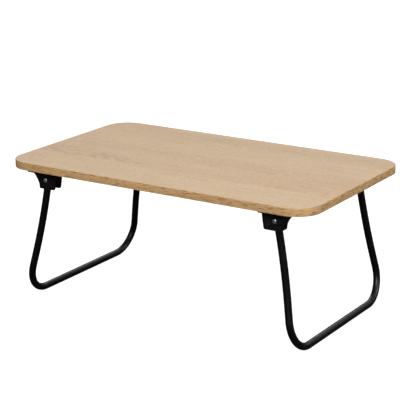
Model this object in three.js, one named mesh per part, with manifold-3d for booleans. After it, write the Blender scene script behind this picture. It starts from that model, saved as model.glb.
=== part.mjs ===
// Folding tray table: an oak-laminated board on two U-shaped tube legs that fold inwards.
// Millimetres. +X runs along the table, +Y across it, +Z up, and the floor is z = 0.

import * as THREE from 'three';
import { mergeVertices } from 'three/addons/utils/BufferGeometryUtils.js';
import Module from 'manifold-3d';

// ---------- board ----------
const TOP_LENGTH = 600;
const TOP_WIDTH = 350;
const TOP_HEIGHT = 254;
const TOP_CORNER_RADIUS = 44;
const CORE_THICKNESS = 12;
const LAMINATE_THICKNESS = 0.75;
const EDGE_BAND_THICKNESS = 1;
const GLUE_LINE = 0.1;
const BOARD_THICKNESS = CORE_THICKNESS + 2 * LAMINATE_THICKNESS;
const UNDERSIDE = TOP_HEIGHT - BOARD_THICKNESS;

// ---------- hinge axis ----------
const PIVOT_FROM_CENTRE = 229.2;
const PIVOT_BELOW_BOARD = 19.5;
const PIVOT_HEIGHT = UNDERSIDE - PIVOT_BELOW_BOARD;
const LIMB_FROM_CENTRE = 143.8;

// ---------- leg ----------
const TUBE_RADIUS = 6.35;
const TUBE_BORE_RADIUS = 5.15;
const TUBE_SIDES = 16;
const TUBE_BORE_SIDES = 8;
const LEG_SPLAY = THREE.MathUtils.degToRad(10.95);
const LIMB_STUB = 7;
const PLUG_CAP_HEIGHT = 1.3;
const LIMB_STRAIGHT = 20;
const LIMB_CURVE_RADIUS = 764;
const LIMB_FLARE = THREE.MathUtils.degToRad(9);
const CORNER_BEND_RADIUS = 48;
const BEND_DIVISIONS = 4;

// ---------- hinge bracket ----------
const FLANGE_INNER = 25;
const FLANGE_OUTER = 29;
const FLANGE_WIDTH = 48;
const FLANGE_THICKNESS = 4;
const FLANGE_END_BEVEL = 2.5;
const FLANGE_EDGE = 1.5;
const FLANGE_CORNER_RADIUS = 4;
const HOUSING_WIDTH = 19;
const HOUSING_DEPTH = 34.9;
const HOUSING_INNER_TOP = 24.6;
const HOUSING_INNER_BOTTOM = 19.6;
const HOUSING_OUTER = 12.8;
const HOUSING_DRAFT = 0.3;
const FLARE_START = 30.2;
const FLARE_TURN = 20;
const FLARE_TURN_OUT = 0.7;
const FLARE_END = 4.5;
const HOUSING_CORNER_RADIUS = 4;
const HOUSING_OUTER_CORNER = 2;
const SLOT_WIDTH = 13.7;
const COUNTERBORE_RADIUS = 5.3;
const COUNTERBORE_DEPTH = 0.8;
const HEAD_SEAT = HOUSING_WIDTH / 2 - COUNTERBORE_DEPTH;
const NUT_SEAT = -HEAD_SEAT;

// ---------- pivot fasteners ----------
const PIVOT_SHANK_RADIUS = 2.4;
const PIVOT_HEAD_RADIUS = 4.25;
const PIVOT_HEAD_HEIGHT = 2.2;
const PIVOT_HEAD_RIM = 0.6;
const PIVOT_HEAD_STEPS = 3;
const PIVOT_HOLE_RADIUS = 2.7;
const BUSH_BORE_RADIUS = 2.5;
const BUSH_RADIUS = 3.7;
const BUSH_LENGTH = 13.1;
const WASHER_RADIUS = 5;
const WASHER_THICKNESS = 1;
const NUT_ACROSS_FLATS = 8;
const NUT_HEIGHT = 3.4;
const NUT_COLLAR_RADIUS = 3.6;
const NUT_COLLAR_HEIGHT = 1.4;
const PIVOT_SCREW_SHOWING = 1;

// ---------- mounting screws ----------
const MOUNT_SCREW_U = 16.5;
const MOUNT_SCREW_V = 16.5;
const MOUNT_SCREW_LENGTH = 12;
const MOUNT_SHANK_RADIUS = 1.9;
const MOUNT_HEAD_RADIUS = 3.6;
const MOUNT_HEAD_HEIGHT = 2.2;
const MOUNT_POINT_LENGTH = 2.5;
const RECESS_LENGTH = 3.6;
const RECESS_WIDTH = 0.9;
const RECESS_DEPTH = 1.3;

const CLEARANCE = 0.3;
const OUTLINE_DIVISIONS = 8;
const SMALL_ARC_DIVISIONS = 3;
const SMALL_ROUND_SIDES = 16;
const SCREW_SIDES = 10;
const HEX_SIDES = 6;

const wasm = await Module();
wasm.setup();

// ---------- materials ----------

function material(color, roughness, metalness) {
  return new THREE.MeshStandardMaterial({ color, roughness, metalness });
}

const oakDecor = material(0xcdb598, 0.5, 0);
const oakEdge = material(0xb8945f, 0.45, 0);
const boardCore = material(0xa98c66, 0.8, 0);
const blackTube = material(0x17171a, 0.35, 0.4);
const blackPlastic = material(0x1b1b1d, 0.6, 0);
const zinc = material(0xb4b6b8, 0.3, 1);
const nylon = material(0xd8d6cf, 0.5, 0);

// ---------- solids ----------

/** The geometry with its shared corners merged and its collapsed triangles dropped. */
function weld(geometry) {
  const bare = geometry.clone();
  bare.deleteAttribute('normal');
  bare.deleteAttribute('uv');
  const merged = mergeVertices(bare);
  const corners = merged.index.array;
  const kept = [];
  for (let i = 0; i < corners.length; i += 3) {
    const [a, b, c] = corners.slice(i, i + 3);
    if (a !== b && b !== c && c !== a) kept.push(a, b, c);
  }
  merged.setIndex(kept);
  return merged;
}

function toSolid(geometry) {
  const welded = weld(geometry);
  return new wasm.Manifold(new wasm.Mesh({
    numProp: 3,
    vertProperties: welded.attributes.position.array,
    triVerts: new Uint32Array(welded.index.array),
  }));
}

function toGeometry(solid) {
  const { vertProperties, triVerts } = solid.getMesh();
  const geometry = new THREE.BufferGeometry();
  geometry.setAttribute('position', new THREE.BufferAttribute(vertProperties, 3));
  geometry.setIndex(new THREE.BufferAttribute(triVerts, 1));
  geometry.computeVertexNormals();
  return geometry;
}

/** One geometry with each of the cutters taken out of it. */
function cut(geometry, cutters) {
  let solid = toSolid(geometry);
  for (const cutter of cutters) solid = solid.subtract(toSolid(cutter));
  return toGeometry(solid);
}

function join(first, second) {
  return toGeometry(toSolid(first).add(toSolid(second)));
}

function common(first, second) {
  return toGeometry(toSolid(first).intersect(toSolid(second)));
}

/** A rounded rectangle from its low corner to its high corner. */
function roundedRectangle(low, high, radius) {
  const shape = new THREE.Shape();
  shape.absarc(high.x - radius, high.y - radius, radius, 0, Math.PI / 2);
  shape.absarc(low.x + radius, high.y - radius, radius, Math.PI / 2, Math.PI);
  shape.absarc(low.x + radius, low.y + radius, radius, Math.PI, 1.5 * Math.PI);
  shape.absarc(high.x - radius, low.y + radius, radius, 1.5 * Math.PI, 2 * Math.PI);
  shape.closePath();
  return shape;
}

/** The board's outline, drawn in by a margin all round. */
function boardOutline(margin) {
  const corner = new THREE.Vector2(TOP_LENGTH / 2 - margin, TOP_WIDTH / 2 - margin);
  return roundedRectangle(corner.clone().negate(), corner, TOP_CORNER_RADIUS - margin);
}

/** A flat sheet of the shape, from z = 0 up to its thickness. */
function sheet(shape, thickness, curveSegments = OUTLINE_DIVISIONS) {
  return new THREE.ExtrudeGeometry(shape, { depth: thickness, bevelEnabled: false, curveSegments });
}

/** A shape drawn in X and Z, given a width that is centred on y = 0. */
function sideSlab(shape, width) {
  const slab = sheet(shape, width, SMALL_ARC_DIVISIONS);
  slab.rotateX(Math.PI / 2);
  slab.translate(0, width / 2, 0);
  return slab;
}

/** A round piece turned about Y from [radius, distance along Y] pairs. */
function turned(profile, sides = SMALL_ROUND_SIDES) {
  return new THREE.LatheGeometry(profile.map(([radius, along]) => new THREE.Vector2(radius, along)), sides);
}

/** The same, turned about Z. */
function turnedUpright(profile, sides) {
  return turned(profile, sides).rotateX(Math.PI / 2);
}

/** A rod about Y between two distances along it. */
function rod(radius, from, to, sides = SMALL_ROUND_SIDES) {
  return turned([[0, from], [radius, from], [radius, to], [0, to]], sides);
}

/** A rod whose flats, not its corners, lie on the radius, so that a round pin of that radius fits. */
function boreCutter(radius, from, to) {
  return rod(radius / Math.cos(Math.PI / SMALL_ROUND_SIDES), from, to);
}

function ring(outerRadius, holeRadius, from, to) {
  return cut(rod(outerRadius, from, to), [boreCutter(holeRadius, from - 1, to + 1)]);
}

function mesh(name, geometry, finish) {
  const piece = new THREE.Mesh(geometry, finish);
  piece.name = name;
  return piece;
}

// ---------- board pieces ----------

/** Where the mounting screws go, measured from the point of the underside above a hinge. */
function mountScrewPlaces() {
  const places = [];
  for (const u of [-MOUNT_SCREW_U, MOUNT_SCREW_U]) {
    for (const v of [-MOUNT_SCREW_V, MOUNT_SCREW_V]) places.push(new THREE.Vector2(u, v));
  }
  return places;
}

/** Blind holes for all the mounting screws, as cutters in the table's own coordinates. */
function pilotHoles() {
  const radius = MOUNT_SHANK_RADIUS + CLEARANCE;
  const top = UNDERSIDE + MOUNT_SCREW_LENGTH - FLANGE_THICKNESS + CLEARANCE;
  const bottom = UNDERSIDE - 1;
  const holes = [];
  for (const x of [-PIVOT_FROM_CENTRE, PIVOT_FROM_CENTRE]) {
    for (const y of [-LIMB_FROM_CENTRE, LIMB_FROM_CENTRE]) {
      for (const place of mountScrewPlaces()) {
        const hole = rod(radius, bottom, top, SCREW_SIDES).rotateX(Math.PI / 2);
        holes.push(hole.translate(x + place.x, y + place.y, 0));
      }
    }
  }
  return holes;
}

function board() {
  const panel = boardOutline(EDGE_BAND_THICKNESS + GLUE_LINE);
  const coreBottom = UNDERSIDE + LAMINATE_THICKNESS;
  const core = sheet(panel, CORE_THICKNESS).translate(0, 0, coreBottom);
  const bottom = sheet(panel, LAMINATE_THICKNESS).translate(0, 0, UNDERSIDE);
  const top = sheet(panel, LAMINATE_THICKNESS).translate(0, 0, TOP_HEIGHT - LAMINATE_THICKNESS);

  const bandShape = boardOutline(0);
  bandShape.holes.push(boardOutline(EDGE_BAND_THICKNESS));
  const band = sheet(bandShape, BOARD_THICKNESS).translate(0, 0, UNDERSIDE);

  const group = new THREE.Group();
  group.add(mesh('tabletop_core', cut(core, pilotHoles()), boardCore));
  group.add(mesh('top_laminate', top, oakDecor));
  group.add(mesh('bottom_laminate', cut(bottom, pilotHoles()), oakDecor));
  group.add(mesh('edge_band', band, oakEdge));
  return group;
}

// ---------- leg pieces: pivot at the origin, leg plane x = 0 ----------

/** A path through the given points, with one step of a sweep for each stretch between them. */
class PointPath extends THREE.Curve {
  constructor(points) {
    super();
    this.points = points;
  }

  getPoint(t, target = new THREE.Vector3()) {
    const place = t * (this.points.length - 1);
    const before = Math.min(Math.floor(place), this.points.length - 2);
    return target.lerpVectors(this.points[before], this.points[before + 1], place - before);
  }

  getUtoTmapping(u) {
    return u;
  }
}

/** Half of the leg's centreline in its plane, from a limb's top end to the middle of the crossbar. */
function halfLegLine() {
  const crossbar = -(PIVOT_HEIGHT - TUBE_RADIUS) / Math.cos(LEG_SPLAY);
  const curveEnd = new THREE.Vector2(
    LIMB_FROM_CENTRE + LIMB_CURVE_RADIUS * (1 - Math.cos(LIMB_FLARE)),
    -LIMB_STRAIGHT - LIMB_CURVE_RADIUS * Math.sin(LIMB_FLARE),
  );
  const cornerY = curveEnd.x + (curveEnd.y - crossbar) * Math.tan(LIMB_FLARE);
  const bendTurn = Math.PI / 2 + LIMB_FLARE;
  const bendCentreY = cornerY - CORNER_BEND_RADIUS * Math.tan(bendTurn / 2);
  const bendCentreZ = crossbar + CORNER_BEND_RADIUS;

  const line = new THREE.Path();
  line.moveTo(LIMB_FROM_CENTRE, LIMB_STUB);
  line.lineTo(LIMB_FROM_CENTRE, -LIMB_STRAIGHT);
  const curveCentreY = LIMB_FROM_CENTRE + LIMB_CURVE_RADIUS;
  line.absarc(curveCentreY, -LIMB_STRAIGHT, LIMB_CURVE_RADIUS, Math.PI, Math.PI + LIMB_FLARE);
  line.absarc(bendCentreY, bendCentreZ, CORNER_BEND_RADIUS, LIMB_FLARE, -Math.PI / 2, true);
  line.lineTo(0, crossbar);
  return line.getPoints(BEND_DIVISIONS);
}

/** The whole centreline: one limb down, the crossbar, and the other limb up. */
function legPath() {
  const half = halfLegLine().map((point) => new THREE.Vector3(0, point.x, point.y));
  const middle = half.pop();
  const otherHalf = half.map((point) => new THREE.Vector3(0, -point.y, point.z)).reverse();
  return new PointPath([...half, middle, ...otherHalf]);
}

/** A polygon turned so that one of its corners points straight down under the leaning crossbar. */
function polygon(radius, sides) {
  const corners = [];
  for (let i = 0; i < sides; i += 1) {
    const angle = (2 * Math.PI * i) / sides - LEG_SPLAY;
    corners.push(new THREE.Vector2(radius * Math.cos(angle), radius * Math.sin(angle)));
  }
  return corners;
}

function legTube() {
  const path = legPath();
  const section = new THREE.Shape(polygon(TUBE_RADIUS, TUBE_SIDES));
  section.holes.push(new THREE.Path(polygon(TUBE_BORE_RADIUS, TUBE_BORE_SIDES)));
  const tube = new THREE.ExtrudeGeometry(section, {
    steps: path.points.length - 1,
    bevelEnabled: false,
    extrudePath: path,
  });
  const reach = LIMB_FROM_CENTRE + 2 * TUBE_RADIUS;
  return cut(tube, [
    boreCutter(BUSH_RADIUS + CLEARANCE, LIMB_FROM_CENTRE - 2 * TUBE_RADIUS, reach),
    boreCutter(BUSH_RADIUS + CLEARANCE, -reach, 2 * TUBE_RADIUS - LIMB_FROM_CENTRE),
  ]);
}

/** A push-in plug with a rounded cap, which closes a limb's top end above the bush. */
function tubePlug() {
  const seat = LIMB_STUB + CLEARANCE;
  const shank = TUBE_BORE_RADIUS * Math.cos(Math.PI / TUBE_BORE_SIDES) - CLEARANCE;
  const shankEnd = BUSH_RADIUS + 2 * CLEARANCE;
  const rim = TUBE_RADIUS - CLEARANCE;
  const top = seat + PLUG_CAP_HEIGHT;
  const profile = [[0, shankEnd], [shank, shankEnd], [shank, seat], [rim, seat]];
  profile.push([rim, top - PLUG_CAP_HEIGHT / 2], [rim - 1, top], [0, top]);
  return turnedUpright(profile);
}

/** One U-shaped leg with its bushes and plugs, leaning outwards from its pivots. */
function leg(end) {
  const group = new THREE.Group();
  group.add(mesh(`${end.name}_leg_tube`, legTube(), blackTube));
  for (const corner of end.corners) {
    const plug = mesh(`${end.name}_${corner.name}_tube_plug`, tubePlug(), blackPlastic);
    plug.position.y = corner.y;
    const bushShape = ring(BUSH_RADIUS, BUSH_BORE_RADIUS, -BUSH_LENGTH / 2, BUSH_LENGTH / 2);
    const bush = mesh(`${end.name}_${corner.name}_pivot_bush`, bushShape, nylon);
    bush.position.y = corner.y;
    group.add(plug, bush);
  }
  group.position.set(PIVOT_FROM_CENTRE, 0, PIVOT_HEIGHT);
  group.rotation.y = -LEG_SPLAY;
  return group;
}

// ---------- hinge pieces: origin on the underside above the pivot ----------

/** The flange, rounded in plan and bevelled underneath at its two ends. */
function bracketFlange() {
  const low = new THREE.Vector2(-FLANGE_INNER, -FLANGE_WIDTH / 2);
  const high = new THREE.Vector2(FLANGE_OUTER, FLANGE_WIDTH / 2);
  const margin = 1;
  const outline = roundedRectangle(low, high, FLANGE_CORNER_RADIUS);
  const plan = sheet(outline, FLANGE_THICKNESS + 2 * margin, SMALL_ARC_DIVISIONS);
  plan.translate(0, 0, -FLANGE_THICKNESS - margin);
  const side = new THREE.Shape();
  side.moveTo(-FLANGE_INNER, 0);
  side.lineTo(-FLANGE_INNER, -FLANGE_EDGE);
  side.lineTo(-FLANGE_INNER + FLANGE_END_BEVEL, -FLANGE_THICKNESS);
  side.lineTo(FLANGE_OUTER - FLANGE_END_BEVEL, -FLANGE_THICKNESS);
  side.lineTo(FLANGE_OUTER, -FLANGE_EDGE);
  side.lineTo(FLANGE_OUTER, 0);
  side.closePath();
  return common(plan, sideSlab(side, FLANGE_WIDTH + 2 * margin));
}

/** The housing's side: upright towards the table's middle, and swept out to the flange's outer end. */
function housingProfile() {
  const top = -FLANGE_EDGE;
  const bottom = -HOUSING_DEPTH;
  const inner = -HOUSING_INNER_BOTTOM;
  const innerRound = HOUSING_CORNER_RADIUS;
  const outerRound = HOUSING_OUTER_CORNER;
  const profile = new THREE.Shape();
  profile.moveTo(FLANGE_OUTER, top);
  profile.lineTo(-HOUSING_INNER_TOP, top);
  profile.lineTo(inner, bottom + innerRound);
  profile.absarc(inner + innerRound, bottom + innerRound, innerRound, Math.PI, 1.5 * Math.PI);
  profile.absarc(HOUSING_OUTER - outerRound, bottom + outerRound, outerRound, 1.5 * Math.PI, 2 * Math.PI);
  const waist = HOUSING_OUTER + HOUSING_DRAFT;
  profile.lineTo(waist, -FLARE_START);
  profile.quadraticCurveTo(HOUSING_OUTER + FLARE_TURN_OUT, -FLARE_TURN, FLANGE_OUTER, -FLARE_END);
  return profile;
}

/** The slot that the limb swings in: open inwards and below, with its outer wall as the stop. */
function slotProfile() {
  const beyond = 5;
  const open = -FLANGE_INNER - beyond;
  const below = -HOUSING_DEPTH - beyond;
  const plugTop = LIMB_STUB + CLEARANCE + PLUG_CAP_HEIGHT;
  const sweep = Math.hypot(plugTop, TUBE_RADIUS - CLEARANCE) + CLEARANCE;
  const ceiling = sweep - PIVOT_BELOW_BOARD;
  const sweepBottom = -PIVOT_BELOW_BOARD - TUBE_RADIUS - CLEARANCE;
  const limbFace = TUBE_RADIUS / Math.cos(LEG_SPLAY) + CLEARANCE;
  const stopAt = (height) => limbFace - (height + PIVOT_BELOW_BOARD) * Math.tan(LEG_SPLAY);
  const stopTop = sweepBottom - (sweep - limbFace) / 2;
  const profile = new THREE.Shape();
  profile.moveTo(open, ceiling);
  profile.lineTo(sweep / 2, ceiling);
  profile.lineTo(sweep, ceiling - sweep / 2);
  profile.lineTo(sweep, sweepBottom);
  profile.lineTo(stopAt(stopTop), stopTop);
  profile.lineTo(stopAt(below), below);
  profile.lineTo(open, below);
  profile.closePath();
  return profile;
}

function hingeBracket() {
  const body = join(bracketFlange(), sideSlab(housingProfile(), HOUSING_WIDTH));
  const face = HOUSING_WIDTH / 2;
  const roundCuts = [
    boreCutter(PIVOT_HOLE_RADIUS, -face - 1, face + 1),
    boreCutter(COUNTERBORE_RADIUS, HEAD_SEAT, face + 1),
    boreCutter(COUNTERBORE_RADIUS, -face - 1, NUT_SEAT),
  ];
  const cutters = roundCuts.map((cutter) => cutter.translate(0, 0, -PIVOT_BELOW_BOARD));
  cutters.push(sideSlab(slotProfile(), SLOT_WIDTH));
  for (const place of mountScrewPlaces()) cutters.push(countersunkHole().translate(place.x, place.y, 0));
  return cut(body, cutters);
}

function countersunkHole() {
  const shank = MOUNT_SHANK_RADIUS + CLEARANCE;
  const head = MOUNT_HEAD_RADIUS + CLEARANCE;
  const coneTop = -FLANGE_THICKNESS + MOUNT_HEAD_HEIGHT + CLEARANCE;
  const mouth = -FLANGE_THICKNESS - 1;
  const profile = [[0, mouth], [head, mouth], [head, -FLANGE_THICKNESS + CLEARANCE]];
  profile.push([shank, coneTop], [shank, 1], [0, 1]);
  return turnedUpright(profile, SCREW_SIDES);
}

/** A cross-shaped drive recess about the origin, to be cut into a screw head. */
function crossRecess() {
  const along = new THREE.BoxGeometry(RECESS_LENGTH, RECESS_WIDTH, 2 * RECESS_DEPTH);
  const across = new THREE.BoxGeometry(RECESS_WIDTH, RECESS_LENGTH, 2 * RECESS_DEPTH);
  return join(along, across);
}

/** A countersunk wood screw, point up, with its flat head flush with the flange. */
function mountingScrew() {
  const bottom = -FLANGE_THICKNESS;
  const tip = bottom + MOUNT_SCREW_LENGTH;
  const profile = [[0, bottom], [MOUNT_HEAD_RADIUS, bottom]];
  profile.push([MOUNT_SHANK_RADIUS, bottom + MOUNT_HEAD_HEIGHT]);
  profile.push([MOUNT_SHANK_RADIUS, tip - MOUNT_POINT_LENGTH], [0, tip]);
  return cut(turnedUpright(profile, SCREW_SIDES), [crossRecess().translate(0, 0, bottom)]);
}

/** The pivot screw along Y, with its domed head outwards at +Y and its thread end past the nut. */
function pivotScrew() {
  const end = NUT_SEAT - WASHER_THICKNESS - NUT_HEIGHT - NUT_COLLAR_HEIGHT - PIVOT_SCREW_SHOWING;
  const profile = [[0, end], [PIVOT_SHANK_RADIUS, end], [PIVOT_SHANK_RADIUS, HEAD_SEAT]];
  profile.push([PIVOT_HEAD_RADIUS, HEAD_SEAT]);
  const dome = PIVOT_HEAD_HEIGHT - PIVOT_HEAD_RIM;
  for (let i = 0; i < PIVOT_HEAD_STEPS; i += 1) {
    const angle = ((i / PIVOT_HEAD_STEPS) * Math.PI) / 2;
    profile.push([PIVOT_HEAD_RADIUS * Math.cos(angle), HEAD_SEAT + PIVOT_HEAD_RIM + dome * Math.sin(angle)]);
  }
  profile.push([0, HEAD_SEAT + PIVOT_HEAD_HEIGHT]);
  const recess = crossRecess().rotateX(Math.PI / 2).translate(0, HEAD_SEAT + PIVOT_HEAD_HEIGHT, 0);
  return cut(turned(profile), [recess]);
}

/** A hexagonal lock nut with a round collar, its seat on the washer and its collar towards -Y. */
function lockNut() {
  const seat = NUT_SEAT - WASHER_THICKNESS;
  const hexEnd = seat - NUT_HEIGHT;
  const collarEnd = hexEnd - NUT_COLLAR_HEIGHT;
  const hexRadius = NUT_ACROSS_FLATS / 2 / Math.cos(Math.PI / HEX_SIDES);
  const hex = rod(hexRadius, hexEnd, seat, HEX_SIDES);
  const collar = rod(NUT_COLLAR_RADIUS, collarEnd, seat);
  return cut(join(hex, collar), [boreCutter(BUSH_BORE_RADIUS, collarEnd - 1, seat + 1)]);
}

function washer() {
  return ring(WASHER_RADIUS, PIVOT_HOLE_RADIUS, NUT_SEAT - WASHER_THICKNESS, NUT_SEAT);
}

/** The bracket and all its fasteners at one corner of the table. */
function hinge(end, corner) {
  const label = `${end.name}_${corner.name}`;
  const group = new THREE.Group();
  group.position.set(PIVOT_FROM_CENTRE, corner.y, UNDERSIDE);
  group.add(mesh(`${label}_hinge_bracket`, hingeBracket(), blackPlastic));

  const pivot = new THREE.Group();
  pivot.position.z = -PIVOT_BELOW_BOARD;
  pivot.rotation.z = corner.y > 0 ? 0 : Math.PI;
  pivot.add(mesh(`${label}_pivot_screw`, pivotScrew(), zinc));
  pivot.add(mesh(`${label}_pivot_washer`, washer(), zinc));
  pivot.add(mesh(`${label}_lock_nut`, lockNut(), zinc));
  group.add(pivot);

  mountScrewPlaces().forEach((place, index) => {
    const screw = mesh(`${label}_mounting_screw_${index + 1}`, mountingScrew(), zinc);
    screw.position.set(place.x, place.y, 0);
    group.add(screw);
  });
  return group;
}

// ---------- assembly ----------

// The left end is the right end turned half a turn about the table's middle,
// so the corner at +Y in its own coordinates is the front one.
const ends = [
  {
    name: 'right',
    turn: 0,
    corners: [{ name: 'front', y: -LIMB_FROM_CENTRE }, { name: 'rear', y: LIMB_FROM_CENTRE }],
  },
  {
    name: 'left',
    turn: Math.PI,
    corners: [{ name: 'front', y: LIMB_FROM_CENTRE }, { name: 'rear', y: -LIMB_FROM_CENTRE }],
  },
];

const table = new THREE.Group();
table.add(board());
for (const end of ends) {
  const side = new THREE.Group();
  side.rotation.z = end.turn;
  side.add(leg(end));
  for (const corner of end.corners) side.add(hinge(end, corner));
  table.add(side);
}

export default table;
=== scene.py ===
"""Folding tray table: the finished board, legs, hinges and studio round the table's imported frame.

Objects are in metres in the table's own frame: +X along the table, +Y to the rear, +Z up, and
the floor at z = 0. Sizes in the classes are in millimetres, and are scaled when a piece is placed.
"""

from __future__ import annotations

import logging
import math
from abc import ABC, abstractmethod
from collections.abc import Callable, Iterable, Sequence
from dataclasses import dataclass
from enum import Enum
from functools import cache

import bmesh
import bpy
from mathutils import Matrix, Vector


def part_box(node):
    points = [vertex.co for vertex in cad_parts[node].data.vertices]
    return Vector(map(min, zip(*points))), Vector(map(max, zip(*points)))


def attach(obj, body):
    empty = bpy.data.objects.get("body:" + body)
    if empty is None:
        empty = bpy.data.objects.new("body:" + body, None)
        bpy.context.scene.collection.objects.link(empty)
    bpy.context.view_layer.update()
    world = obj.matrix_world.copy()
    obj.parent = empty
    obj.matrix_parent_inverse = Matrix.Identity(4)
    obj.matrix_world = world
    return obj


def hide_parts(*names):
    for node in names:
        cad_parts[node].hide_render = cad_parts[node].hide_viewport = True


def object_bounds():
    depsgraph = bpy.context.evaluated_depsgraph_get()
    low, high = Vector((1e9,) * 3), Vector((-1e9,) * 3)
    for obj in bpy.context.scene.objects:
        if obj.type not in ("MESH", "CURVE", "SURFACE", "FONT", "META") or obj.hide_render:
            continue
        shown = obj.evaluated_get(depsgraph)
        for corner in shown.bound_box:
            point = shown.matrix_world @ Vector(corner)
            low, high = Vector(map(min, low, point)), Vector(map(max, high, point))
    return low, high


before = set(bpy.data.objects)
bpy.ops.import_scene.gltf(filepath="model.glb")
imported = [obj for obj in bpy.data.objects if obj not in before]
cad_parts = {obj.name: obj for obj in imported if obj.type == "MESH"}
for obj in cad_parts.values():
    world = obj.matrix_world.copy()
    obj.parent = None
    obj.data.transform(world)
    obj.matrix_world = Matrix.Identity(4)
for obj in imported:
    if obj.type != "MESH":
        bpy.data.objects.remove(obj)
cad_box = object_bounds()

log = logging.getLogger("tray_table")

MM = 0.001

# Sizes that more than one piece is made to, in millimetres and degrees.
TUBE_RADIUS = 6.35
SPLAY = 10.95
FLANGE_THICKNESS = 4.0
SCREW_HEAD_HEIGHT = 2.2
SCREW_REACH = 16.5
SCREW_SPOTS = [(u, v) for u in (-SCREW_REACH, SCREW_REACH) for v in (-SCREW_REACH, SCREW_REACH)]

Point2 = tuple[float, float]
Colour = tuple[float, float, float, float]
Wire = bpy.types.NodeSocket | float | Sequence[float]


def srgb(red: int, green: int, blue: int) -> Colour:
    """The linear colour of an everyday 0 to 255 colour.

    Args:
        red: Red level.
        green: Green level.
        blue: Blue level.

    Returns:
        Linear red, green and blue, with full alpha.
    """

    def linear(level: int) -> float:
        """One level made linear."""
        share = level / 255
        return share / 12.92 if share <= 0.04045 else ((share + 0.055) / 1.055) ** 2.4

    return linear(red), linear(green), linear(blue), 1.0


def shift(x: float, y: float, z: float) -> Matrix:
    """A move, as a matrix."""
    return Matrix.Translation((x, y, z))


def spin(degrees: float, axis: str) -> Matrix:
    """A turn about an axis, as a matrix."""
    return Matrix.Rotation(math.radians(degrees), 4, axis)


class End(Enum):
    """Which end of the table a leg is at, by the sign of its X."""

    LEFT = -1
    RIGHT = 1

    @property
    def label(self) -> str:
        """The end's name as it stands in piece names."""
        return self.name.lower()

    @property
    def turn(self) -> Matrix:
        """Turns pieces drawn for the right end to face this end."""
        return spin(0.0 if self is End.RIGHT else 180.0, "Z")


class Row(Enum):
    """Which long side of the table a hinge is near, by the sign of its Y."""

    FRONT = -1
    REAR = 1


class Operation(Enum):
    """How one solid is combined with another."""

    JOIN = "UNION"
    CUT = "DIFFERENCE"
    COMMON = "INTERSECT"


@dataclass(frozen=True)
class Corner:
    """One hinge's place in the table: the end that it is at and its row."""

    end: End
    row: Row

    @property
    def label(self) -> str:
        """The corner's name as it stands in piece names."""
        return f"{self.end.label}_{self.row.name.lower()}"

    @property
    def pivot(self) -> Vector:
        """The middle of the pivot, which is the middle of its bush."""
        low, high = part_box(f"{self.label}_pivot_bush")
        return (low + high) / 2

    @property
    def bracket_place(self) -> Matrix:
        """Carries bracket coordinates, with +X outwards and z = 0 on the board, to the table."""
        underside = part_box("bottom_laminate")[0].z
        return shift(self.pivot.x, self.pivot.y, underside) @ self.end.turn

    @property
    def pivot_place(self) -> Matrix:
        """Carries pivot coordinates, with +Z towards the screw's head, to the table."""
        return Matrix.Translation(self.pivot) @ spin(-90.0 * self.row.value, "X")


CORNERS = [Corner(end, row) for end in End for row in Row]


# ---------------------------------------------------------------- outlines and meshes


def rounded(points: Sequence[Point2], radii: Sequence[float], steps: int) -> list[Point2]:
    """A closed outline with its corners rounded.

    Args:
        points: The outline's corners in order.
        radii: Each corner's radius, where 0 leaves it sharp.
        steps: How many short sides make one rounded corner.

    Returns:
        The rounded outline's points.
    """
    outline: list[Point2] = []
    for index, (point, radius) in enumerate(zip(points, radii)):
        corner = Vector(point)
        if radius <= 0:
            outline.append(point)
            continue
        before = (Vector(points[index - 1]) - corner).normalized()
        after = (Vector(points[(index + 1) % len(points)]) - corner).normalized()
        half = before.angle(after) / 2
        centre = corner + (before + after).normalized() * (radius / math.sin(half))
        first = corner + before * (radius / math.tan(half)) - centre
        last = corner + after * (radius / math.tan(half)) - centre
        start = math.atan2(first.y, first.x)
        turn = math.remainder(math.atan2(last.y, last.x) - start, math.tau)
        for step in range(steps + 1):
            angle = start + turn * step / steps
            outline.append((centre.x + radius * math.cos(angle), centre.y + radius * math.sin(angle)))
    return outline


def quadratic(start: Point2, pull: Point2, end: Point2, steps: int) -> list[Point2]:
    """Points along a curve from start to end that is pulled towards a third point.

    Args:
        start: Where the curve begins.
        pull: The point that it bends towards.
        end: Where the curve ends.
        steps: How many short sides it has.

    Returns:
        The points from start to end, both included.
    """
    curve = []
    for step in range(steps + 1):
        share = step / steps
        a, b, c = (1 - share) ** 2, 2 * share * (1 - share), share**2
        x, y = (a * first + b * middle + c * last for first, middle, last in zip(start, pull, end))
        curve.append((x, y))
    return curve


def finished_mesh(name: str, work: bmesh.types.BMesh) -> bpy.types.Mesh:
    """Turns the faces outwards and stores the work as a mesh.

    Args:
        name: The mesh's name.
        work: The faces made so far. It is freed.

    Returns:
        The stored mesh.
    """
    bmesh.ops.recalc_face_normals(work, faces=work.faces)
    mesh = bpy.data.meshes.new(name)
    work.to_mesh(mesh)
    work.free()
    return mesh


def prism(name: str, outline: Sequence[Point2], low: float, high: float) -> bpy.types.Mesh:
    """A solid of a flat outline in X and Y, from one height to another.

    Args:
        name: The mesh's name.
        outline: The outline's points.
        low: The bottom's height.
        high: The top's height.

    Returns:
        The closed mesh.
    """
    work = bmesh.new()
    bottom = [work.verts.new((x, y, low)) for x, y in outline]
    top = [work.verts.new((x, y, high)) for x, y in outline]
    work.faces.new(bottom)
    work.faces.new(top)
    for index, corner in enumerate(bottom):
        following = (index + 1) % len(bottom)
        work.faces.new((corner, bottom[following], top[following], top[index]))
    return finished_mesh(name, work)


def moved(mesh: bpy.types.Mesh, place: Matrix) -> bpy.types.Mesh:
    """The same mesh, carried by a matrix."""
    mesh.transform(place)
    return mesh


def side_slab(name: str, outline: Sequence[Point2], width: float) -> bpy.types.Mesh:
    """A solid whose outline is drawn in X and Z, with its width centred on y = 0."""
    return moved(prism(name, outline, -width / 2, width / 2), spin(90, "X"))


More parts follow.
